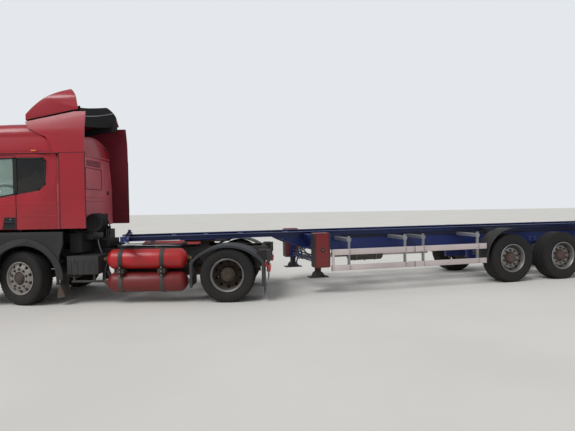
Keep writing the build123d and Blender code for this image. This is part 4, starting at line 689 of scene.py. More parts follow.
# Wheels: profiles are (depth in from the outer face, radius)
tyreKinds = {
    "front": {"width": 0.312, "radius": 0.495, "starts": (0,), "grooves": (0.2, 0.4, 0.6, 0.8), "lugs": 56},
    "drive": {
        "width": 0.312, "radius": 0.495, "starts": (0, 0.344), "grooves": (0.25, 0.5, 0.75), "lugs": 44,
    },
    "trailer": {"width": 0.382, "radius": 0.52, "starts": (0,), "grooves": (0.2, 0.4, 0.6, 0.8), "lugs": 56},
}
tyreForm = {
    "beadRadius": 0.2855, "grooveHalf": 0.006, "grooveDepth": 0.013, "lugDepth": 0.009, "shoulderBand": 0.052,
}


def tyreProfile(width, radius, start, grooves):
    half = [
        (0.028, tyreForm["beadRadius"]), (0.026, 0.303), (0.019, 0.311), (0.0165, 0.322), (0.0095, 0.337),
        (0.0045, 0.36), (0.0012, 0.385), (0.0, 0.405), (0.0022, 0.43), (0.0062, radius - 0.052),
        (0.0068, radius - 0.046), (0.011, radius - 0.034), (0.016, radius - 0.018), (0.023, radius - 0.007),
        (0.034, radius - 0.001), (0.05, radius),
    ]
    tread = []
    for share in grooves:
        middle = share * width
        tread += [
            (middle - tyreForm["grooveHalf"], radius),
            (middle - tyreForm["grooveHalf"] * 0.6, radius - tyreForm["grooveDepth"]),
            (middle + tyreForm["grooveHalf"] * 0.6, radius - tyreForm["grooveDepth"]),
            (middle + tyreForm["grooveHalf"], radius),
        ]
    back = [(width - depth, r) for depth, r in reversed(half)]
    inside = [(width - 0.034, 0.292), (width * 0.5, 0.30), (0.034, 0.292)]
    return [(start + depth, r) for depth, r in half + tread + back + inside]


def makeTyre(kind):
    values = tyreKinds[kind]
    radius, width, lugs = values["radius"], values["width"], values["lugs"]
    rings = []
    for start in values["starts"]:
        ring = spinProfile(tyreProfile(width, radius, start, values["grooves"]), 2 * lugs)

        def betweenLugs(centre, normal, start=start):
            turn = int((atan2(centre.x, centre.z) % (2 * pi)) / (pi / lugs))
            edge = min(centre.y - start, start + width - centre.y)
            far = (centre.x**2 + centre.z**2) ** 0.5
            return turn % 2 == 0 and far > radius - 0.036 and edge < tyreForm["shoulderBand"]

        selectFaces(ring, betweenLugs)
        bpy.ops.mesh.extrude_region_shrink_fatten(TRANSFORM_OT_shrink_fatten={"value": -tyreForm["lugDepth"]})
        leaveEdit()
        pick(ring)
        bpy.ops.object.shade_smooth_by_angle(angle=radians(32))
        rings.append(paintWith(ring, "tyreRubber"))
    return joinAll(rings, kind + "TyreMaster")


def cutHoles(body, cutter):
    applyModifier(body, "BOOLEAN", operation="DIFFERENCE", object=cutter, solver="EXACT")
    removeAll(cutter)


def roundHoles(count, ringRadius, holeRadius, depths, lean=0.0):
    hole = addRod((0, depths[0], ringRadius + lean), (0, depths[1], ringRadius - lean), holeRadius, 20, 0)
    holes = joinAll(ringOf(hole, count), "holes")
    removeAll(hole)
    return holes


def hexNuts(count, ringRadius, face, size, reach, start=0.0):
    nut = addRod((0, face + 0.002, ringRadius), (0, face - reach, ringRadius), size, 6, 0.0015)
    stud = addRod((0, face, ringRadius), (0, face - reach - 0.012, ringRadius), size * 0.5, 10, 0.001)
    washer = addRod((0, face + 0.002, ringRadius), (0, face - 0.004, ringRadius), size * 1.3, 16, 0.001)
    parts = ringOf(nut, count, start) + ringOf(stud, count, start) + ringOf(washer, count, start)
    removeAll(nut, stud, washer)
    return parts


def rimBarrel(start, width, deep=0.276):
    return [
        (start + width - 0.008, deep), (start + width - 0.008, 0.299), (start + width - 0.012, 0.3035),
        (start + width - 0.019, 0.3), (start + width - 0.022, 0.285), (start + 0.022, 0.285),
        (start + 0.019, 0.3), (start + 0.012, 0.3035), (start + 0.008, 0.299),
    ]


def makeFrontRim():
    values = {"nuts": 10, "nutRing": 0.1675, "holes": 10, "holeRing": 0.238, "holeRadius": 0.031}
    disc = spinProfile(
        [
            (0.008, 0.286), (0.016, 0.279), (0.04, 0.272), (0.044, 0.262), (0.036, 0.244), (0.022, 0.221),
            (0.009, 0.207), (0.006, 0.2), (0.006, 0.128), (0.004, 0.122), (0.02, 0.118), (0.05, 0.112),
            (0.19, 0.106), (0.19, 0.2), (0.03, 0.203), (0.042, 0.224), (0.06, 0.27), (0.07, 0.2755),
            *rimBarrel(0, 0.312),
        ],
        72,
    )
    cutHoles(disc, roundHoles(values["holes"], values["holeRing"], values["holeRadius"], (-0.02, 0.09)))
    softenEdges(disc, 0.0, limit=30)
    hub = spinProfile(
        [
            (-0.02, 0), (-0.022, 0.052), (-0.018, 0.06), (-0.012, 0.064), (-0.012, 0.086), (-0.004, 0.094),
            (0.012, 0.098), (0.03, 0.118), (0.12, 0.118), (0.12, 0.045), (0.02, 0.043), (0.02, 0),
        ],
        48,
    )
    softenEdges(hub, 0.0)
    capBolts = hexNuts(6, 0.075, -0.012, 0.008, 0.006)
    nuts = hexNuts(values["nuts"], values["nutRing"], 0.006, 0.0185, 0.028)
    valve = addRod((0, 0.02, 0.258), (0, -0.012, 0.25), 0.005, 8)
    for part, finish in ((disc, "rimFront"), (hub, "castDark"), (valve, "brassDull")):
        paintWith(part, finish)
    for part in nuts + capBolts:
        paintWith(part, "hubRust")
    return joinAll([disc, hub, valve] + nuts + capBolts, "frontRimMaster")


def makeDriveRim():
    values = {"nuts": 10, "nutRing": 0.1675, "holes": 10, "holeRing": 0.236, "holeRadius": 0.03}
    second = tyreKinds["drive"]["starts"][1]
    dish = spinProfile(
        [
            (0.05, 0.274), (0.12, 0.27), (0.215, 0.262), (0.27, 0.236), (0.292, 0.205), (0.296, 0.198),
            (0.296, 0.135), (0.31, 0.13), (0.33, 0.13), (0.33, 0.2), (0.33, 0.215),
            (0.4, 0.27), (0.41, 0.276), (0.3, 0.2785), (0.05, 0.2785),
        ],
        72,
    )
    cutHoles(dish, roundHoles(values["holes"], values["holeRing"], values["holeRadius"], (0.2, 0.36)))
    softenEdges(dish, 0.0, limit=30)
    outerRing = spinProfile([(0.04, 0.272), (0.302, 0.2775), *rimBarrel(0, 0.312, 0.2815)], 72)
    innerRing = spinProfile([(0.004 + second, 0.2785), *rimBarrel(second, 0.312)], 72)
    softenEdges(outerRing, 0.0, limit=30)
    softenEdges(innerRing, 0.0, limit=30)
    hub = spinProfile(
        [
            (0.128, 0), (0.126, 0.04), (0.118, 0.046), (0.116, 0.082), (0.122, 0.094), (0.134, 0.1),
            (0.142, 0.128), (0.3, 0.134), (0.42, 0.12), (0.6, 0.105), (0.6, 0.042), (0.155, 0.042),
            (0.155, 0),
        ],
        48,
    )
    softenEdges(hub, 0.0)
    nuts = hexNuts(values["nuts"], values["nutRing"], 0.296, 0.0185, 0.03)
    flangeBolts = hexNuts(8, 0.062, 0.117, 0.009, 0.008, 0.2)
    for part, finish in (
        (dish, "rimDark"), (outerRing, "rimSilver"), (innerRing, "rimDark"), (hub, "rimDark"),
    ):
        paintWith(part, finish)
    for part in nuts + flangeBolts:
        paintWith(part, "hubRust")
    return joinAll([dish, outerRing, innerRing, hub] + nuts + flangeBolts, "driveRimMaster")


def makeTrailerRim():
    values = {
        "nuts": 10, "nutRing": 0.1675, "holes": 10, "holeRing": 0.24, "holeRadius": 0.026,
        "darkBand": (0.218, 0.266),
    }
    disc = spinProfile(
        [
            (0.008, 0.286), (0.018, 0.279), (0.06, 0.272), (0.084, 0.266), (0.094, 0.246), (0.1, 0.214),
            (0.096, 0.2), (0.096, 0.14), (0.1, 0.132), (0.116, 0.13), (0.116, 0.214), (0.104, 0.272),
            (0.115, 0.276), *rimBarrel(0, 0.382),
        ],
        72,
    )
    cutHoles(disc, roundHoles(values["holes"], values["holeRing"], values["holeRadius"], (0.04, 0.16)))
    softenEdges(disc, 0.0, limit=30)
    hub = spinProfile(
        [
            (0.028, 0), (0.026, 0.068), (0.03, 0.078), (0.036, 0.086), (0.05, 0.092), (0.054, 0.108),
            (0.066, 0.114), (0.092, 0.12), (0.11, 0.13), (0.3, 0.12), (0.3, 0.042), (0.052, 0.042),
            (0.052, 0),
        ],
        48,
    )
    softenEdges(hub, 0.0)
    nuts = hexNuts(values["nuts"], values["nutRing"], 0.096, 0.0185, 0.03)
    capBolts = hexNuts(8, 0.099, 0.052, 0.008, 0.006)
    for part, finish in ((disc, "rimSilver"), (hub, "hubRust")):
        paintWith(part, finish)
    disc.data.materials.append(finishes["rimDark"])
    bandInner, bandOuter = values["darkBand"]
    for face in disc.data.polygons:
        if bandInner < (face.center.x**2 + face.center.z**2) ** 0.5 < bandOuter:
            face.material_index = 1
    for part in nuts + capBolts:
        paintWith(part, "castDark")
    return joinAll([disc, hub] + nuts + capBolts, "trailerRimMaster")


jointInset = {"front": 0.0, "drive": 0.33, "trailer": 0.19}
rimMakers = {"front": makeFrontRim, "drive": makeDriveRim, "trailer": makeTrailerRim}
for kind, makeRim in rimMakers.items():
    tyreMaster = makeTyre(kind)
    rimMaster = makeRim()
    for wheelName in [name for name in bodyOf if name.startswith("wheel") and kind in name]:
        joint = joints[wheelName + "_spin"]
        turn = atan2(-joint["axis"][0], joint["axis"][1]) + (pi if wheelName.endswith("right") else 0)
        wheelPlace = (
            Matrix.Translation(joint["pos_m"]) @ Matrix.Rotation(turn, 4, "Z")
            @ Matrix.Translation((0, -jointInset[kind], 0))
        )
        for master, partName, slot in ((tyreMaster, "tyre", "tyre"), (rimMaster, "rim", "cast")):
            wheelPart = copyOf(master, wheelPlace)
            wheelPart.name = wheelName + "_" + partName
            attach(wheelPart, wheelName)
        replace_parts(bpy.data.objects[wheelName + "_tyre"], wheelName)
    removeAll(tyreMaster, rimMaster)
print("Wheels made")

# Detail helpers
flipSide = Matrix.Scale(-1, 4, (0, 1, 0))


def sideArc(centre, radius, start, end, count=24):
    return [
        (centre[0] + radius * cos(radians(start + (end - start) * step / count)),
         centre[1] + radius * sin(radians(start + (end - start) * step / count)))
        for step in range(count + 1)
    ]


def sideStrip(points, width, yFrom, yTo, soft=0.0):
    bands = []
    for (xA, zA), (xB, zB) in zip(points, points[1:]):
        along = Vector((xB - xA, zB - zA)).normalized() * width / 2
        across = Vector((-along.y, along.x))
        corners = [(xA, zA, -1, 1), (xB, zB, 1, 1), (xB, zB, 1, -1), (xA, zA, -1, -1)]
        outline = [
            (x + end * along.x + edge * across.x, z + end * along.y + edge * across.y)
            for x, z, end, edge in corners
        ]
        bands.append(sidePlate(outline, yFrom, yTo, soft, 1))
    return bands


def closedLoop(points):
    return list(points) + [points[0]]


def addTube(points, radius, bend="AUTO"):
    deselectAll()
    line = bpy.data.curves.new("tube", "CURVE")
    line.dimensions = "3D"
    line.bevel_depth = radius
    line.bevel_resolution = 2
    line.resolution_u = 5
    line.use_fill_caps = True
    spline = line.splines.new("BEZIER")
    spline.bezier_points.add(len(points) - 1)
    for knot, point in zip(spline.bezier_points, points):
        knot.co = point
        knot.handle_left_type = knot.handle_right_type = bend
    tube = bpy.data.objects.new("tube", line)
    bpy.context.scene.collection.objects.link(tube)
    pick(tube)
    bpy.ops.object.convert(target="MESH")
    bpy.ops.object.shade_smooth_by_angle(angle=radians(60))
    return bpy.context.object


def painted(finish, parts):
    return [paintWith(part, finish) for part in parts]


def blocksOf(finish, ranges, soft=0.002):
    return painted(finish, [addBlock(*box, soft=soft, segments=1) for box in ranges])


def scatter(master, places):
    parts = [copyOf(master, Matrix.Translation(place)) for place in places]
    removeAll(master)
    return parts


def boltHead(axis, size=0.009, sides=6):
    tip = Vector(axis) * size * 0.9
    return addRod(-tip, tip, size, sides, 0.001)


def otherSide(parts):
    for part in parts:
        part.data.transform(flipSide)
        part.data.flip_normals()
    return parts


def repaint(piece, finish, test):
    piece.data.materials.append(finishes[finish])
    index = len(piece.data.materials) - 1
    for face in piece.data.polygons:
        if test(face.center - kingpin, face.normal):
            face.material_index = index


def thinPin(piece, centre, reach, share):
    for vertex in piece.data.vertices:
        offsetX, offsetY = vertex.co.x - centre[0], vertex.co.y - centre[1]
        if (offsetX**2 + offsetY**2) ** 0.5 < reach:
            vertex.co.x = centre[0] + offsetX * share
            vertex.co.y = centre[1] + offsetY * share


# Doors: window seal, pillar, grip, handle, lock, creases and mirror glass
doorTrim = {
    "face": 1.24, "sunk": 0.004, "sealWidth": 0.026, "sealProud": 0.0025, "darkProud": 0.002,
    "window": [(-4.125, 1.94), (-3.918, 2.64), (-3.222, 2.655), (-3.222, 2.015), (-3.5, 1.965)],
    "grip": [(-3.45, 1.39), (-3.41, 1.6), (-3.205, 1.6), (-3.205, 1.39)],
    "pillar": [(-3.232, 2.0), (-3.232, 2.665), (-3.2, 2.665), (-3.2, 2.0)],
    "handleX": (-3.42, -3.24), "handleFeet": (-3.41, -3.27), "handleZ": (1.5, 1.53), "lock": (-3.3, 1.565),
    "creases": (1.83, 1.62), "creaseWidth": 0.011, "creaseX": (-4.175, -3.206),
    "mirrorX": (-3.982, -3.9735), "mirrorY": (-1.432, -1.288), "mirrorZ": ((2.2, 2.53), (2.07, 2.17)),
    "backX": (-3.985, -3.975), "backY": (-1.44, -1.28), "backZ": ((2.185, 2.54), (2.06, 2.178)),
}


def makeCreases(startX, endX):
    face, width = doorTrim["face"], doorTrim["creaseWidth"]
    ridges = [
        ridge for z in doorTrim["creases"]
        for ridge in sideStrip([(startX, z), (endX, z)], width, -face + 0.002, -face - 0.004, 0.003)
    ]
    return painted("cabRed", ridges)


def makeDoorTrim():
    face, sunk = doorTrim["face"], doorTrim["sunk"]
    window = closedLoop(doorTrim["window"])
    seal = sideStrip(window, doorTrim["sealWidth"], -face + sunk, -face - doorTrim["sealProud"])
    parts = painted("deepBlack", seal)
    parts += painted("deepBlack", [
        sidePlate(doorTrim[part], -face + sunk, -face - doorTrim["darkProud"], 0.001, 1)
        for part in ("grip", "pillar")
    ])
    handleBar = (doorTrim["handleX"], (-face - 0.024, -face - 0.012), doorTrim["handleZ"])
    parts += blocksOf("blackPlastic", [handleBar], 0.005)
    parts += blocksOf("blackPlastic", [
        ((x, x + 0.02), (-face - 0.02, -face), doorTrim["handleZ"]) for x in doorTrim["handleFeet"]
    ])
    lockX, lockZ = doorTrim["lock"]
    lock = addRod((lockX, -face - 0.004, lockZ), (lockX, -face, lockZ), 0.011)
    parts += painted("galvanised", [lock])
    return parts + makeCreases(*doorTrim["creaseX"])


def makeMirrorFaces():
    glass = [(doorTrim["mirrorX"], doorTrim["mirrorY"], z) for z in doorTrim["mirrorZ"]]
    backs = [(doorTrim["backX"], doorTrim["backY"], z) for z in doorTrim["backZ"]]
    return blocksOf("mirrorGlass", glass, 0.001) + blocksOf("deepBlack", backs)


def onItsSide(sideName, parts):
    return parts if sideName == "left" else otherSide(parts)


for sideName in ("left", "right"):
    doorBody = "door_" + sideName
    doorParts = onItsSide(sideName, makeDoorTrim())
    settle(doorParts, "door_trim_" + sideName, doorBody, None)
    mirrorParts = onItsSide(sideName, makeMirrorFaces())
    settle(mirrorParts, "mirror_faces_" + sideName, doorBody, None)

# Cab sides: quarter window seal, pillar, shut lines, drip rail, creases, deflector seams, a dark plate of painted
# shade in the hood gap, marker lamp
cabTrim = {
    "face": 1.24, "sunk": 0.004, "sealWidth": 0.024, "sealProud": 0.0025,
    "quarter": [(-3.178, 2.655), (-2.7, 2.65), (-2.66, 2.61), (-2.665, 2.19), (-2.77, 2.09), (-3.178, 2.022)],
    "pillar": [(-3.1955, 2.0), (-3.1955, 2.67), (-3.166, 2.67), (-3.166, 2.0)],
    "shutLines": [
        [(-3.1965, 1.386), (-3.1965, 2.7)], [(-3.93, 2.704), (-3.1965, 2.704)],
        [(-4.1915, 1.386), (-4.1915, 1.94)],
    ],
    "seams": [[(-2.408, 1.39), (-2.408, 2.745)], [(-2.4, 2.744), (-1.96, 2.744)]],
    "railX": (-4.05, -2.412), "railZ": (2.742, 2.756),
    "railGapX": (-4.0, -2.412), "railGapZ": (2.7255, 2.7395),
    "creaseX": (-3.188, -2.416), "backEdgeX": (-1.964, -1.951), "backEdgeZ": (1.4, 2.76),
    "hoodGap": [(-3.0, 3.29), (-2.1, 3.44), (-2.1, 3.62), (-3.0, 3.42)], "hoodGapY": (-1.003, -0.993),
    "markerX": (-2.9, -2.8), "markerZ": (2.775, 2.8),
}


def makeCabTrim():
    face, sunk = cabTrim["face"], cabTrim["sunk"]
    quarter = closedLoop(cabTrim["quarter"])
    seal = sideStrip(quarter, cabTrim["sealWidth"], -face + sunk, -face - cabTrim["sealProud"])
    parts = painted("deepBlack", seal)
    parts += painted("deepBlack", [sidePlate(cabTrim["pillar"], -face + sunk, -face - 0.002, 0.0005, 1)])
    for line in cabTrim["shutLines"]:
        parts += painted("deepBlack", sideStrip(line, 0.006, -face + sunk, -face - 0.0012))
    for line in cabTrim["seams"]:
        parts += painted("deepBlack", sideStrip(line, 0.009, -face + sunk, -face - 0.0015))
    rail = (cabTrim["railX"], (-face - 0.012, -face + 0.01), cabTrim["railZ"])
    parts += blocksOf("cabRed", [rail], 0.004)
    railGap = (cabTrim["railGapX"], (-face - 0.002, -face + sunk), cabTrim["railGapZ"])
    parts += blocksOf("deepBlack", [railGap], 0.001)
    parts += makeCreases(*cabTrim["creaseX"])
    backEdge = (cabTrim["backEdgeX"], (-face, -face + 0.026), cabTrim["backEdgeZ"])
    parts += blocksOf("deepBlack", [backEdge], 0.003)
    # A dark plate inside the hood's side, in the gap under it: painted shade
    parts += painted("deepBlack", [sidePlate(cabTrim["hoodGap"], *cabTrim["hoodGapY"], 0.001, 1)])
    marker = addBlock(cabTrim["markerX"], (-face - 0.016, -face + 0.002), cabTrim["markerZ"], 0.004)
    return parts + painted("amberLens", [marker])


settle(mirrored(makeCabTrim()), "cab_side_trim", "cab", None)

# Cab rear wall: louvres, ribs, beads, recess frame in painted shade, vents, grab handle, upper edge, work lamp
rearTrim = {
    "plane": -2.27, "louvreBack": ((-0.34, 0.39), (2.585, 2.7)), "louvreY": (-0.33, 0.38),
    "louvres": [2.598 + 0.017 * row for row in range(6)], "ribs": (-0.86, -0.64, 0.64, 0.86),
    "ribZ": (1.62, 2.62),
    "beads": ((0.003, 0.92, 2.785, 0.012), (0.002, 0.94, 1.96, 0.009), (0.002, 0.94, 1.88, 0.009)),
    "recess": [
        (-0.42, 2.14), (-0.4, 2.12), (0.4, 2.12), (0.42, 2.14), (0.42, 2.52), (0.4, 2.54), (-0.4, 2.54),
        (-0.42, 2.52),
    ],
    "vents": (((0.72, 0.84), (2.02, 2.1)), ((0.56, 0.74), (1.48, 1.62))),
    "handleY": -0.98, "handle": ((0, 2.0), (0.05, 2.03), (0.05, 2.3), (0, 2.33)),
    "upperEdge": [
        (-0.9, 2.8), (-0.826, 2.924), (-0.41, 3.095), (0, 3.146), (0.41, 3.095), (0.826, 2.924), (0.9, 2.8),
    ],
    "lamp": (-0.62, 2.98),
}
plane = rearTrim["plane"]
rearParts = blocksOf("deepBlack", [((plane - 0.002, plane + 0.003), *rearTrim["louvreBack"])])
rearParts += blocksOf("cabRedDull", [
    ((plane, plane + 0.01), rearTrim["louvreY"], (z, z + 0.008)) for z in rearTrim["louvres"]
])
rearParts += blocksOf("cabRedDull", [
    ((plane - 0.002, plane + 0.008), (y - 0.02, y + 0.02), rearTrim["ribZ"]) for y in rearTrim["ribs"]
], 0.006)
rearParts += painted("cabRedDull", [
    addTube([(plane + proud, y, z) for y in (-half, 0, half)], radius)
    for proud, half, z, radius in rearTrim["beads"]
])
# The recess frame is drawn in dark maroon: painted shade along the recess edge
rearParts += painted("cabRedPaintedShade", [
    addTube([(plane + 0.002, y, z) for y, z in closedLoop(rearTrim["recess"])], 0.008, "VECTOR")
])
rearParts += blocksOf("deepBlack", [((plane - 0.002, plane + 0.004), y, z) for y, z in rearTrim["vents"]])
rearParts += painted("blackPlastic", [
    addTube([(plane + out, rearTrim["handleY"], z) for out, z in rearTrim["handle"]], 0.012)
])
rearParts += painted("cabRed", [addTube([(plane + 0.004, y, z) for y, z in rearTrim["upperEdge"]], 0.011)])
lampY, lampZ = rearTrim["lamp"]
workLamp = addRod((plane, lampY, lampZ), (plane + 0.03, lampY, lampZ), 0.035, 20, 0.004)
rearParts += painted("lensGlass", [workLamp])

# Seal along the hood's back edge: an arc in plan that rises towards the cab's rear
hoodBack = {
    "half": 1.0, "steps": 16, "centreX": -1.2092, "radius": 1.4108, "scoopX": -2.62, "scoopZ": 3.65,
    "rise": 0.42, "behind": 0.012,
}
hoodSeal = []
for step in range(hoodBack["steps"] + 1):
    y = hoodBack["half"] * (2 * step / hoodBack["steps"] - 1)
    x = hoodBack["centreX"] - (hoodBack["radius"] ** 2 - y**2) ** 0.5
    height = hoodBack["scoopZ"] + (x - hoodBack["scoopX"]) * hoodBack["rise"]
    hoodSeal.append((x + hoodBack["behind"], y, height))
rearParts += painted("galvanised", [addTube(hoodSeal, 0.013)])
settle(rearParts, "cab_rear_trim", "cab", None)
print("Cab sides and rear trimmed")

# Nose: grille bars, screen border, wipers
nose = {
    "bars": [1.12 + 0.075 * row for row in range(7)], "barY": (-0.78, 0.78), "slotX": (-4.452, -4.444),
    "barX": (-4.468, -4.45), "screenFoot": (-4.44, 1.95), "screenLean": 0.376,
    "border": [(-1.05, 2.0), (-1.03, 2.675), (0, 2.683), (1.03, 2.675), (1.05, 2.0), (0, 1.99)],
    "wipers": ((-0.62, 0.1), (0.2, 0.9)),
}


def onScreen(y, z, proud=0.02):
    footX, footZ = nose["screenFoot"]
    return (footX + (z - footZ) * nose["screenLean"] - proud, y, z)


noseParts = blocksOf("deepBlack", [
    (nose["slotX"], nose["barY"], (z - 0.026, z + 0.026)) for z in nose["bars"]
])
noseParts += blocksOf("greyPlastic", [
    (nose["barX"], nose["barY"], (z + 0.008, z + 0.02)) for z in nose["bars"]
], 0.003)
noseParts += painted("deepBlack", [
    addTube([onScreen(y, z, 0.004) for y, z in closedLoop(nose["border"])], 0.012, "VECTOR")
])
for start, end in nose["wipers"]:
    arm = [onScreen(start, 1.955), onScreen(start + 0.08, 2.02), onScreen((start + end) / 2, 2.1)]
    blade = [onScreen(start + 0.05, 2.05, 0.012), onScreen(end, 2.15, 0.012)]
    noseParts += painted("deepBlack", [addTube(arm, 0.009), addTube(blade, 0.008)])
    pivot = addRod(onScreen(start, 1.95, 0.0), onScreen(start, 1.95, 0.03), 0.016)
    noseParts += painted("galvanised", [pivot])
settle(noseParts, "cab_nose_trim", "cab", None)

# Bumper: headlamp glass and reflectors, fog lamps, side markers, air gap, blank plate
bumperTrim = {
    "lampX": (-4.426, -4.421), "lampY": (0.82, 1.1), "lampZ": (0.65, 0.82),
    "reflectorX": (-4.4195, -4.408), "reflectorZ": 0.735, "reflectors": ((0.89, 0.062), (1.03, 0.052)),
    "fogY": 0.8, "fogZ": 0.47, "fogBack": -4.49,
    "fogRings": (("lensGlass", -4.5045, 0.055), ("deepBlack", -4.502, 0.07)),
    "markerX": (-4.25, -4.16), "markerY": (1.236, 1.244), "markerZ": (0.84, 0.88),
    "gaps": (((-4.5035, -4.495), (-0.55, 0.55), (0.6, 0.7)), ((-4.504, -4.495), (-0.3, 0.3), (0.4, 0.53))),
    "plate": ((-4.507, -4.502), (-0.26, 0.26), (0.41, 0.52)),
}


def spanOn(side, span):
    return tuple(sorted(side * y for y in span))


frontParts = []
for side in bothSides:
    lampGlass = (bumperTrim["lampX"], spanOn(side, bumperTrim["lampY"]), bumperTrim["lampZ"])
    frontParts += blocksOf("lensGlass", [lampGlass])
    for y, radius in bumperTrim["reflectors"]:
        ends = [(x, side * y, bumperTrim["reflectorZ"]) for x in bumperTrim["reflectorX"]]
        frontParts += painted("rimSilver", [addRod(*ends, radius, 28, 0.002, radius * 0.6)])
    for finish, frontX, radius in bumperTrim["fogRings"]:
        ends = [(x, side * bumperTrim["fogY"], bumperTrim["fogZ"]) for x in (frontX, bumperTrim["fogBack"])]
        frontParts += painted(finish, [addRod(*ends, radius, 28, 0.003)])
    sideMarker = (bumperTrim["markerX"], spanOn(side, bumperTrim["markerY"]), bumperTrim["markerZ"])
    frontParts += blocksOf("amberLens", [sideMarker])
frontParts += blocksOf("deepBlack", bumperTrim["gaps"])
frontParts += blocksOf("lensGlass", [bumperTrim["plate"]])
settle(frontParts, "bumper_trim", "tractor", None)

# Front fenders: moulded lip round the arch, step wells and treads, flap foot, lip bolts
fender = {
    "centre": (-3.1, 0.495), "inner": 0.592, "outer": 0.715, "boltRing": 0.69, "face": 1.24,
    "wellX": (-4.13, -3.84), "wells": (0.4, 0.72, 1.02),
    "treadX": (-4.12, -3.85), "treads": (0.41, 0.73, 1.03),
    "flapFoot": [(-2.475, 0.36), (-2.5, 0.135), (-2.36, 0.16), (-2.44, 0.37)], "flapInner": -0.99,
}


def makeFenderTrim():
    face, centre = fender["face"], fender["centre"]
    lip = sideArc(centre, fender["outer"], -2, 182) + sideArc(centre, fender["inner"], 182, -2)
    parts = painted("greyPlastic", [sidePlate(lip, -face + 0.004, -face - 0.014, 0.006, 2)])
    parts += blocksOf("deepBlack", [
        (fender["wellX"], (-face - 0.001, -face + 0.004), (z, z + 0.15)) for z in fender["wells"]
    ])
    parts += blocksOf("galvanised", [
        (fender["treadX"], (-face - 0.006, -face + 0.004), (z, z + 0.018)) for z in fender["treads"]
    ])
    parts += painted("castDark", [sidePlate(fender["flapFoot"], -face, fender["flapInner"], 0.004, 1)])
    parts += painted("castDark", scatter(boltHead((0, 1, 0), 0.008), [
        (x, -face - 0.014, z) for x, z in sideArc(centre, fender["boltRing"], 8, 172, 9)
    ]))
    return parts


settle(mirrored(makeFenderTrim()), "front_fender_trim", "tractor", None)
print("Nose and fenders trimmed")

# Gas cylinders: strap buckles, spacer blocks, a dark plate of painted shade between them, end necks and valves,
# pipes
tanks = {
    "x": (-1.65, -0.178), "y": -1.05, "z": (0.805, 0.385), "straps": (-1.37, -0.625),
    "spacerY": (-1.235, -0.9), "spacerZ": (0.555, 0.635), "buckleY": (-1.252, -1.24), "buckleZ": (0.5, 0.69),
    "buckleBolts": (0.525, 0.595, 0.665), "shade": ((-1.6, -0.25), (-0.862, -0.85), (0.4, 0.78)),
    "pipes": (
        [(-0.13, -1.05, 0.42), (-0.1, -1.02, 0.52), (-0.1, -1.02, 0.66), (-0.13, -1.05, 0.77)],
        [(-1.695, -1.05, 0.42), (-1.72, -1.0, 0.55), (-1.72, -0.9, 0.7), (-1.71, -0.5, 0.78)],
    ),
}


def makeTankTrim():
    parts = []
    for x in tanks["straps"]:
        parts += blocksOf("castDark", [((x - 0.07, x + 0.06), tanks["spacerY"], tanks["spacerZ"])], 0.004)
        parts += blocksOf("deepBlack", [((x - 0.018, x + 0.018), tanks["buckleY"], tanks["buckleZ"])], 0.003)
        boltPlaces = [(x, -1.256, z) for z in tanks["buckleBolts"]]
        parts += painted("galvanised", scatter(boltHead((0, 1, 0), 0.012), boltPlaces))
    # A dark plate behind and between the cylinders: painted shade
    parts += blocksOf("deepBlack", [tanks["shade"]])
    y = tanks["y"]
    for z in tanks["z"]:
        for x, way in zip(tanks["x"], (-1, 1)):
            neck = addRod((x - way * 0.02, y, z), (x + way * 0.03, y, z), 0.045, 20, 0.004)
            parts += painted("castDark", [neck])
            valveX = x + way * 0.045
            parts += painted("brassDull", [
                addRod((x, y, z), (x + way * 0.065, y, z), 0.022, 6, 0.002),
                addRod((valveX, y, z - 0.03), (valveX, y, z + 0.035), 0.011, 10),
            ])
    return parts + painted("galvanised", [addTube(pipe, 0.006) for pipe in tanks["pipes"]])


settle(mirrored(makeTankTrim()), "gas_tank_trim", "tractor", None)

# Battery box: lid line, ribs, catches, bolts
batteryTrim = {
    "lidLine": ((-2.331, -1.764), (-1.2015, -1.195), (0.795, 0.803)),
    "ribs": (-2.27, -2.16, -2.05, -1.94, -1.83), "catches": (-2.22, -1.91), "bolts": (-2.31, -1.79),
}
boxTrim = blocksOf("deepBlack", [batteryTrim["lidLine"]])
boxTrim += blocksOf("greyPlastic", [
    ((x, x + 0.022), (-1.206, -1.196), (0.565, 0.785)) for x in batteryTrim["ribs"]
], 0.004)
boxTrim += blocksOf("castDark", [
    ((x, x + 0.03), (-1.212, -1.198), (0.76, 0.84)) for x in batteryTrim["catches"]
], 0.004)
boxTrim += painted("castDark", scatter(boltHead((0, 1, 0), 0.008), [
    (x, -1.204, 0.575) for x in batteryTrim["bolts"]
]))
settle(mirrored(boxTrim), "battery_box_trim", "tractor", None)

# Behind the cab: coupling board on posts, gearbox tunnel, dark boxes, pipes, couplings, frame bolts
board = {
    "plate": ((-2.21, -2.19), (-0.4, 0.4), (1.34, 1.6)), "postX": (-2.2, -2.16), "postZ": (0.95, 1.6),
    "posts": ((-0.34, -0.3), (0.3, 0.34)), "tunnel": ((-3.55, -2.42), (-0.62, 0.62), (1.08, 1.29)),
    "boxes": (
        ((-2.4, -1.9), (-0.36, 0.36), (0.96, 1.12)), ((-2.36, -2.14), (-0.98, -0.42), (0.93, 1.28)),
        ((-2.36, -2.2), (0.42, 0.98), (0.93, 1.28)),
    ),
    "pipes": (-0.3, -0.18, -0.06, 0.08, 0.2, 0.32), "redCoupling": 1,
    "railPipes": (
        ([(-1.7, -0.33, 0.985), (-0.9, -0.33, 0.985), (-0.45, -0.3, 0.97)], 0.01),
        ([(-1.7, 0.2, 0.985), (-1.0, 0.22, 0.985), (-0.45, 0.3, 0.97)], 0.01),
        ([(-2.05, -0.46, 1.18), (-2.0, -0.5, 1.0), (-1.9, -0.5, 0.8), (-1.75, -0.47, 0.72)], 0.014),
    ),
    "bolts": 23, "boltPitch": 0.12, "boltStart": 1.6, "boltY": 0.387, "boltZ": (0.76, 0.9),
}
lineParts = blocksOf("deepBlack", [
    board["plate"], *[(board["postX"], y, board["postZ"]) for y in board["posts"]], board["tunnel"],
    *board["boxes"],
])
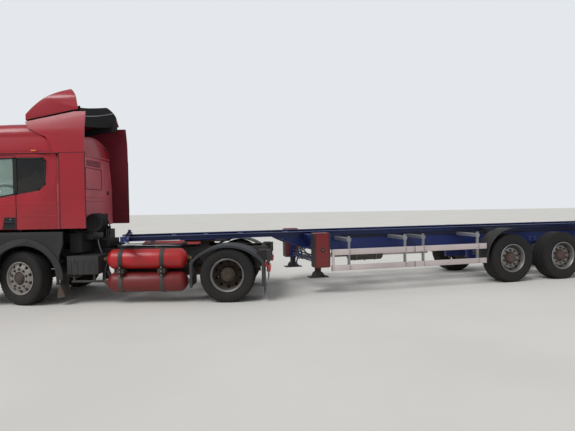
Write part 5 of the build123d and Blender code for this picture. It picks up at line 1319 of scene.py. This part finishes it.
for turn, y in enumerate(board["pipes"]):
    low = 1.04 + 0.03 * (turn % 3)
    pipe = [
        (-2.17, y, 1.5), (-2.1, y, 1.44), (-2.09, y + 0.02, 1.2), (-2.06, y * 0.6, low), (-1.7, y * 0.4, 1.0),
    ]
    lineParts += painted("deepBlack", [addTube(pipe, 0.012)])
    lineParts += painted("galvanised", [addRod((-2.19, y, 1.5), (-2.15, y, 1.5), 0.021, 6, 0.002)])
    couplingFinish = "redLens" if turn == board["redCoupling"] else "brassDull"
    lineParts += painted(couplingFinish, [addRod((-2.16, y, 1.53), (-2.16, y, 1.545), 0.014)])
lineParts += painted("galvanised", [addTube(pipe, radius) for pipe, radius in board["railPipes"]])
lineParts += painted("castDark", scatter(boltHead((0, 1, 0), 0.011), [
    (row * board["boltPitch"] - board["boltStart"], side * board["boltY"], z)
    for row in range(board["bolts"]) for side in bothSides for z in board["boltZ"]
]))
settle(lineParts, "tractor_lines", "tractor", None)

# Intake head: ribs and a smaller end cap
intake = {
    "x": -1.96, "z": 1.475, "ribs": 7, "ribY": (-0.555, -0.567), "pitch": 0.045, "capY": (-0.84, -0.852),
}
intakeRibs = []
for step in range(intake["ribs"]):
    ends = [(intake["x"], y - intake["pitch"] * step, intake["z"]) for y in intake["ribY"]]
    intakeRibs.append(addRod(*ends, 0.168, 40, 0.003))
ends = [(intake["x"], y, intake["z"]) for y in intake["capY"]]
intakeRibs.append(addRod(*ends, 0.125, 40, 0.004))
settle(intakeRibs, "air_intake_ribs", "tractor", "deepBlack")

# Tractor's tail: box, round side lamp, rear lenses
tail = {
    "box": ((1.1, 1.26), (-1.03, -0.77), (0.74, 0.93)), "lampX": 1.22, "lampZ": 0.66,
    "lampRings": (("deepBlack", (-1.06, -1.0), 0.05, 0.006), ("redLens", (-1.085, -1.055), 0.046, 0.012)),
    "lensX": (1.322, 1.331), "lensZ": 0.59,
    "lenses": ((-1.0, "amberLens"), (-0.9, "redLens"), (-0.8, "lensGlass")),
}
tailParts = blocksOf("deepBlack", [tail["box"]], 0.01)
for finish, span, radius, soft in tail["lampRings"]:
    ends = [(tail["lampX"], y, tail["lampZ"]) for y in span]
    tailParts += painted(finish, [addRod(*ends, radius, 28, soft)])
for y, lens in tail["lenses"]:
    ends = [(x, y, tail["lensZ"]) for x in tail["lensX"]]
    tailParts += painted(lens, [addRod(*ends, 0.04, 24, 0.003)])
settle(mirrored(tailParts), "tail_trim", "tractor", None)
print("Tractor trimmed")

# Cab inside: lining, grey seat bases, two padded seats and a padded bunk
seatForm = {
    "lining": (((-4.02, -2.4), (-1.16, 1.16), (2.665, 2.69)), ((-2.46, -2.44), (-1.05, 1.05), (1.95, 2.66))),
    "sides": (-0.62, 0.62), "half": 0.25, "headHalf": 0.13, "baseHalf": 0.17, "baseX": (-3.68, -3.3),
    "baseZ": (1.47, 1.75), "bunkX": (-2.92, -2.34), "bunkY": (-1.02, 1.02), "bunkBaseZ": (1.47, 1.74),
    "mattressZ": (1.745, 1.92),
}
settle(blocksOf("deepBlack", seatForm["lining"]), "cab_lining", "cab", None)
baseHalf = seatForm["baseHalf"]
bases = [(seatForm["baseX"], (y - baseHalf, y + baseHalf), seatForm["baseZ"]) for y in seatForm["sides"]]
bases.append((seatForm["bunkX"], seatForm["bunkY"], seatForm["bunkBaseZ"]))
seatBase = blocksOf("greyPlastic", bases, 0.01)
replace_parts(settle(seatBase, "seat_bases", "cab", None), "seats")
for seatName, y in zip(("left", "right"), seatForm["sides"]):
    half, headHalf = seatForm["half"], seatForm["headHalf"]
    for padName, box, soft in (
        ("cushion", ((-3.72, -3.24), (y - half, y + half), (1.755, 1.885)), 0.045),
        ("back", ((-3.26, -3.12), (y - half, y + half), (1.84, 2.3)), 0.05),
        ("headrest", ((-3.19, -3.1), (y - headHalf, y + headHalf), (2.31, 2.46)), 0.035),
    ):
        padBlock = addBlock(*box, soft=soft, segments=4)
        pad = settle([padBlock], "seat_" + padName + "_" + seatName, "cab", "seatCloth")
mattressBlock = addBlock(seatForm["bunkX"], seatForm["bunkY"], seatForm["mattressZ"], 0.05, 4)
mattress = settle([mattressBlock], "bunk_mattress", "cab", "seatCloth")

# Steering wheel: rim, three spokes, column
steer = {
    "centre": (-3.87, -0.62, 2.08), "lean": -62, "radius": 0.215, "thick": 0.015, "spokes": (0.5, 2.64, 4.7),
    "spokeReach": 0.21, "column": 0.2,
}
wheelCentre = Vector(steer["centre"])
wheelLean = Matrix.Translation(wheelCentre) @ Matrix.Rotation(radians(steer["lean"]), 4, "Y")
deselectAll()
bpy.ops.mesh.primitive_torus_add(
    major_radius=steer["radius"], minor_radius=steer["thick"], major_segments=40, minor_segments=10
)
steering = [bpy.context.object]
steering[0].data.transform(wheelLean)
for angle in steer["spokes"]:
    reach = steer["spokeReach"]
    spokeEnd = wheelLean @ Vector((reach * cos(angle), reach * sin(angle), 0))
    steering.append(addRod(wheelCentre, spokeEnd, 0.012, 8))
steering.append(addRod(wheelCentre, wheelLean @ Vector((0, 0, -steer["column"])), 0.03, 14))
settle(steering, "steering_wheel", "cab", "deepBlack")

# Pins thinned so that their facets turn clear of their bores: distance from the axis, share kept
pinCare = {"kingpin": (0.035, 0.96), "hinge": (0.0066, 0.7)}
lampShell = dress("tractor_lamps", "blackPlastic", 0.006)
repaint(lampShell, "redLens", lambda centre, normal: centre.x > 1.26 and centre.z < 0.7)
thinPin(shells["coupler_plate"], kingpin, *pinCare["kingpin"])
for hingeName in ("door_left_hinge", "door_right_hinge"):
    thinPin(shells["cab_front"], joints[hingeName]["pos_m"], *pinCare["hinge"])

# Faces of the construction pieces that take a second finish; the lower gas cylinder, the hood's back wall and
# underside and the side deflectors' inner faces get painted shade
repaint(shells["landing_gear"], "deepBlack", lambda centre, normal: centre.z < 0.5)
repaint(shells["cab_rear"], "cabRed", lambda centre, normal: normal.x < 0.6)
# The lower gas cylinder's faces take a darker red: painted shade
repaint(shells["gas_tanks"], "tankPaintedShade", lambda centre, normal: centre.z < 0.58)
# The hood's concave back wall, facing the cab's rear, is painted black: painted shade inside the hood
repaint(
    shells["roof_deflector"], "deepBlack",
    lambda centre, normal: normal.x > 0.25 and abs(centre.y) < 1.06 and centre.x > -2.8,
)
# Downward faces of the hood are painted black: painted shade underneath
repaint(shells["roof_deflector"], "deepBlack", lambda centre, normal: normal.z < -0.3)
# The side deflectors' inward faces take dark maroon: painted shade
repaint(shells["side_deflectors"], "cabRedPaintedShade", lambda centre, normal: normal.y * centre.y < -0.2)
print("Interior and lamps made")

# Landing gear: round feet, inner legs, rungs, cross braces, bolts, crank
leg = {
    "x": 2.07, "y": -0.9, "footZ": (0.312, 0.338), "innerZ": (0.34, 0.52), "braceHalf": 0.84,
    "rungX": 2.04, "rungs": (0.6, 0.72, 0.84, 0.96), "braceX": 2.05, "braceZ": (0.58, 0.98),
    "boltX": (-0.045, 0.045), "boltZ": (0.95, 1.03, 1.1),
    "crank": [
        (1.71, -0.88, 0.9), (1.7, -0.99, 0.9), (1.7, -1.0, 0.8), (1.7, -1.01, 0.72), (1.7, -1.09, 0.71),
    ],
}
foot = addRod(*[(leg["x"], leg["y"], z) for z in leg["footZ"]], 0.125, 28, 0.004, 0.1)
gear = mirrored(painted("deepBlack", [foot]))
innerLeg = addRod(*[(leg["x"], leg["y"], z) for z in leg["innerZ"]], 0.042, 16)
gear += mirrored(painted("deepBlack", [innerLeg]))
half = leg["braceHalf"]
rungs = [addTube([(leg["rungX"], -half, z), (leg["rungX"], half, z)], 0.016) for z in leg["rungs"]]
lowZ, highZ = leg["braceZ"]
braces = [
    addTube([(leg["braceX"], side * half, lowZ), (leg["braceX"], -side * half, highZ)], 0.014)
    for side in bothSides
]
gear += painted("chassisBlue", rungs + braces)
gear += mirrored(painted("castDark", scatter(boltHead((0, 1, 0), 0.011), [
    (leg["x"] + dx, -0.968, z) for dx in leg["boltX"] for z in leg["boltZ"]
])))
gear += painted("deepBlack", [addTube(leg["crank"], 0.012)])
settle(gear, "landing_gear_trim", "trailer", None, onTrailer)

# Extinguisher boxes: lid line, edge strips, rivets, lozenge latch
case = {
    "lid": [(1.932, 0.54), (1.932, 1.175), (2.2, 1.175), (2.2, 0.54)],
    "strips": ((2.203, 2.226), (1.914, 1.93)), "stripY": (-1.203, -0.966), "stripZ": (0.54, 1.175),
    "rivets": 8, "rivetPitch": 0.08, "rivetStart": (2.213, -1.205, 0.58),
    "latch": [(2.03, 0.87), (2.07, 0.925), (2.11, 0.87), (2.07, 0.815)], "latchCentre": (2.07, 0.87),
}
caseTrim = painted("deepBlack", sideStrip(closedLoop(case["lid"]), 0.005, -1.197, -1.2015))
caseTrim += blocksOf("frameDark", [(x, case["stripY"], case["stripZ"]) for x in case["strips"]], 0.003)
rivetX, rivetY, rivetZ = case["rivetStart"]
caseTrim += painted("galvanised", scatter(boltHead((0, 1, 0), 0.005, 10), [
    (rivetX, rivetY, rivetZ + case["rivetPitch"] * row) for row in range(case["rivets"])
]))
caseTrim += painted("deepBlack", [sidePlate(case["latch"], -1.198, -1.213, 0.004, 1)])
latchX, latchZ = case["latchCentre"]
caseTrim += painted("galvanised", [addRod((latchX, -1.205, latchZ), (latchX, -1.219, latchZ), 0.012)])
settle(mirrored(caseTrim), "extinguisher_box_trim", "trailer", None, onTrailer)

# Side guards: end caps, joint, bolts
guard = {
    "rails": ((0.752, 0.868), (0.449, 0.561)), "capY": (-1.2035, -1.168),
    "capX": ((2.256, 2.264), (5.723, 5.731), (4.034, 4.046)), "boltX": (2.63, 3.84, 4.25, 5.53),
    "boltZ": (0.81, 0.505), "boltShift": (-0.025, 0.025),
}
guardTrim = blocksOf("deepBlack", [
    (x, guard["capY"], z) for z in guard["rails"] for x in guard["capX"]
], 0.002)
guardTrim += painted("galvanised", scatter(boltHead((0, 1, 0), 0.012, 12), [
    (x, -1.204, z + dz) for x in guard["boltX"] for z in guard["boltZ"] for dz in guard["boltShift"]
]))
settle(mirrored(guardTrim), "side_guard_trim", "trailer", None, onTrailer)

# Chassis: air lines, bolts, lock heads and handles
chassis = {
    "pipes": (
        ([(2.7, -0.455, 1.06), (4.0, -0.455, 1.06), (6.0, -0.455, 1.05), (10.2, -0.455, 1.05)], 0.011),
        ([(2.7, -0.46, 1.09), (4.0, -0.46, 1.09), (6.0, -0.46, 1.1), (10.3, -0.46, 1.09)], 0.007),
    ),
    "boltX": (6.1, 6.25, 7.4, 7.55, 8.7, 8.85), "boltZ": (0.84, 0.9),
    "lockX": (-1.54, 10.52), "lockY": -1.129, "handleReach": 0.09,
}
chassisTrim = painted("deepBlack", [addTube(pipe, radius) for pipe, radius in chassis["pipes"]])
chassisTrim += painted("galvanised", scatter(boltHead((0, 1, 0), 0.01), [
    (x, -0.508, z) for x in chassis["boltX"] for z in chassis["boltZ"]
]))
for x in chassis["lockX"]:
    lockY = chassis["lockY"]
    gripX = x + (chassis["handleReach"] if x < 0 else -chassis["handleReach"])
    chassisTrim += painted("galvanised", [
        addRod((x, lockY, 1.205), (x, lockY, 1.248), 0.03, 16, 0.002, 0.018),
        addTube([(x, lockY - 0.02, 1.15), (x, -1.185, 1.15), (gripX, -1.19, 1.13)], 0.008),
    ])
settle(mirrored(chassisTrim), "trailer_beam_trim", "trailer", None, onTrailer)

# Running gear: brake chambers, slack adjusters, dampers, spring clips
runGear = {
    "axles": (6.38, 7.69, 9.0), "chamberY": -0.62, "chamberZ": 0.66, "damperY": -0.5,
    "clipShift": (-0.07, 0.07), "clip": ((-0.4, 0.66), (-0.4, 0.42), (-0.47, 0.42), (-0.47, 0.66)),
}
runTrim = []
for axle in runGear["axles"]:
    chamberY, chamberZ, damperY = runGear["chamberY"], runGear["chamberZ"], runGear["damperY"]
    runTrim += painted("castDark", [
        addRod((axle - 0.12, chamberY, chamberZ), (axle - 0.3, chamberY, chamberZ), 0.082, 24, 0.006),
        addRod((axle - 0.14, chamberY, chamberZ), (axle - 0.16, chamberY, chamberZ), 0.092, 24, 0.002),
        addRod((axle - 0.12, chamberY, chamberZ), (axle, chamberY, 0.62), 0.014, 10),
        addRod((axle, chamberY, 0.65), (axle + 0.01, chamberY, 0.51), 0.022, 8),
        addRod((axle + 0.12, damperY, 0.56), (axle + 0.38, damperY, 0.86), 0.03, 16),
        addRod((axle + 0.25, damperY, 0.71), (axle + 0.42, damperY, 0.9), 0.022, 16),
    ])
    runTrim += painted("galvanised", [
        addTube([(axle + dx, y, z) for y, z in runGear["clip"]], 0.009) for dx in runGear["clipShift"]
    ])
settle(mirrored(runTrim), "running_gear_trim", "trailer", None, onTrailer)

# Trailer's tail: lamp lenses, marking strips, plate
trailerTail = {
    "lenses": ((0.93, "redLens"), (1.0, "amberLens"), (1.07, "redLens")), "lensX": (10.536, 10.548),
    "strips": (
        ("redLens", (10.571, 10.574), (0.1, 0.46, 0.82)),
        ("guardAluminium", (10.571, 10.5735), (0.28, 0.64, 1.0)),
    ),
    "stripWidth": 0.09, "stripZ": (0.43, 0.49), "plate": ((10.562, 10.568), (-0.26, 0.26), (0.9, 1.01)),
}
rearLamps = []
for y, lens in trailerTail["lenses"]:
    ends = [(x, -y, 1.0) for x in trailerTail["lensX"]]
    rearLamps += painted(lens, [addRod(*ends, 0.03, 24, 0.003)])
for finish, span, places in trailerTail["strips"]:
    rearLamps += blocksOf(finish, [
        (span, (-y - trailerTail["stripWidth"], -y), trailerTail["stripZ"]) for y in places
    ], 0.0)
rearLamps = mirrored(rearLamps) + blocksOf("guardAluminium", [trailerTail["plate"]])
settle(rearLamps, "trailer_tail_trim", "trailer", None, onTrailer)

# Air tanks: straps, drain valves
airTank = {"y": -0.43, "z": 0.675, "strapRadius": 0.128, "straps": (3.05, 3.5), "turns": 12, "drainX": 3.28}
airTrim = []
for x in airTank["straps"]:
    strap = []
    for step in range(airTank["turns"] + 1):
        angle = 2 * pi * step / airTank["turns"]
        across, up = airTank["strapRadius"] * cos(angle), airTank["strapRadius"] * sin(angle)
        strap.append((x, airTank["y"] + across, airTank["z"] + up))
    airTrim += painted("galvanised", [addTube(strap, 0.006)])
drainX, drainY = airTank["drainX"], airTank["y"]
airTrim += painted("brassDull", [addRod((drainX, drainY, 0.555), (drainX, drainY, 0.53), 0.012, 8)])
settle(mirrored(airTrim), "air_tank_trim", "trailer", None, onTrailer)
print("Trailer trimmed")
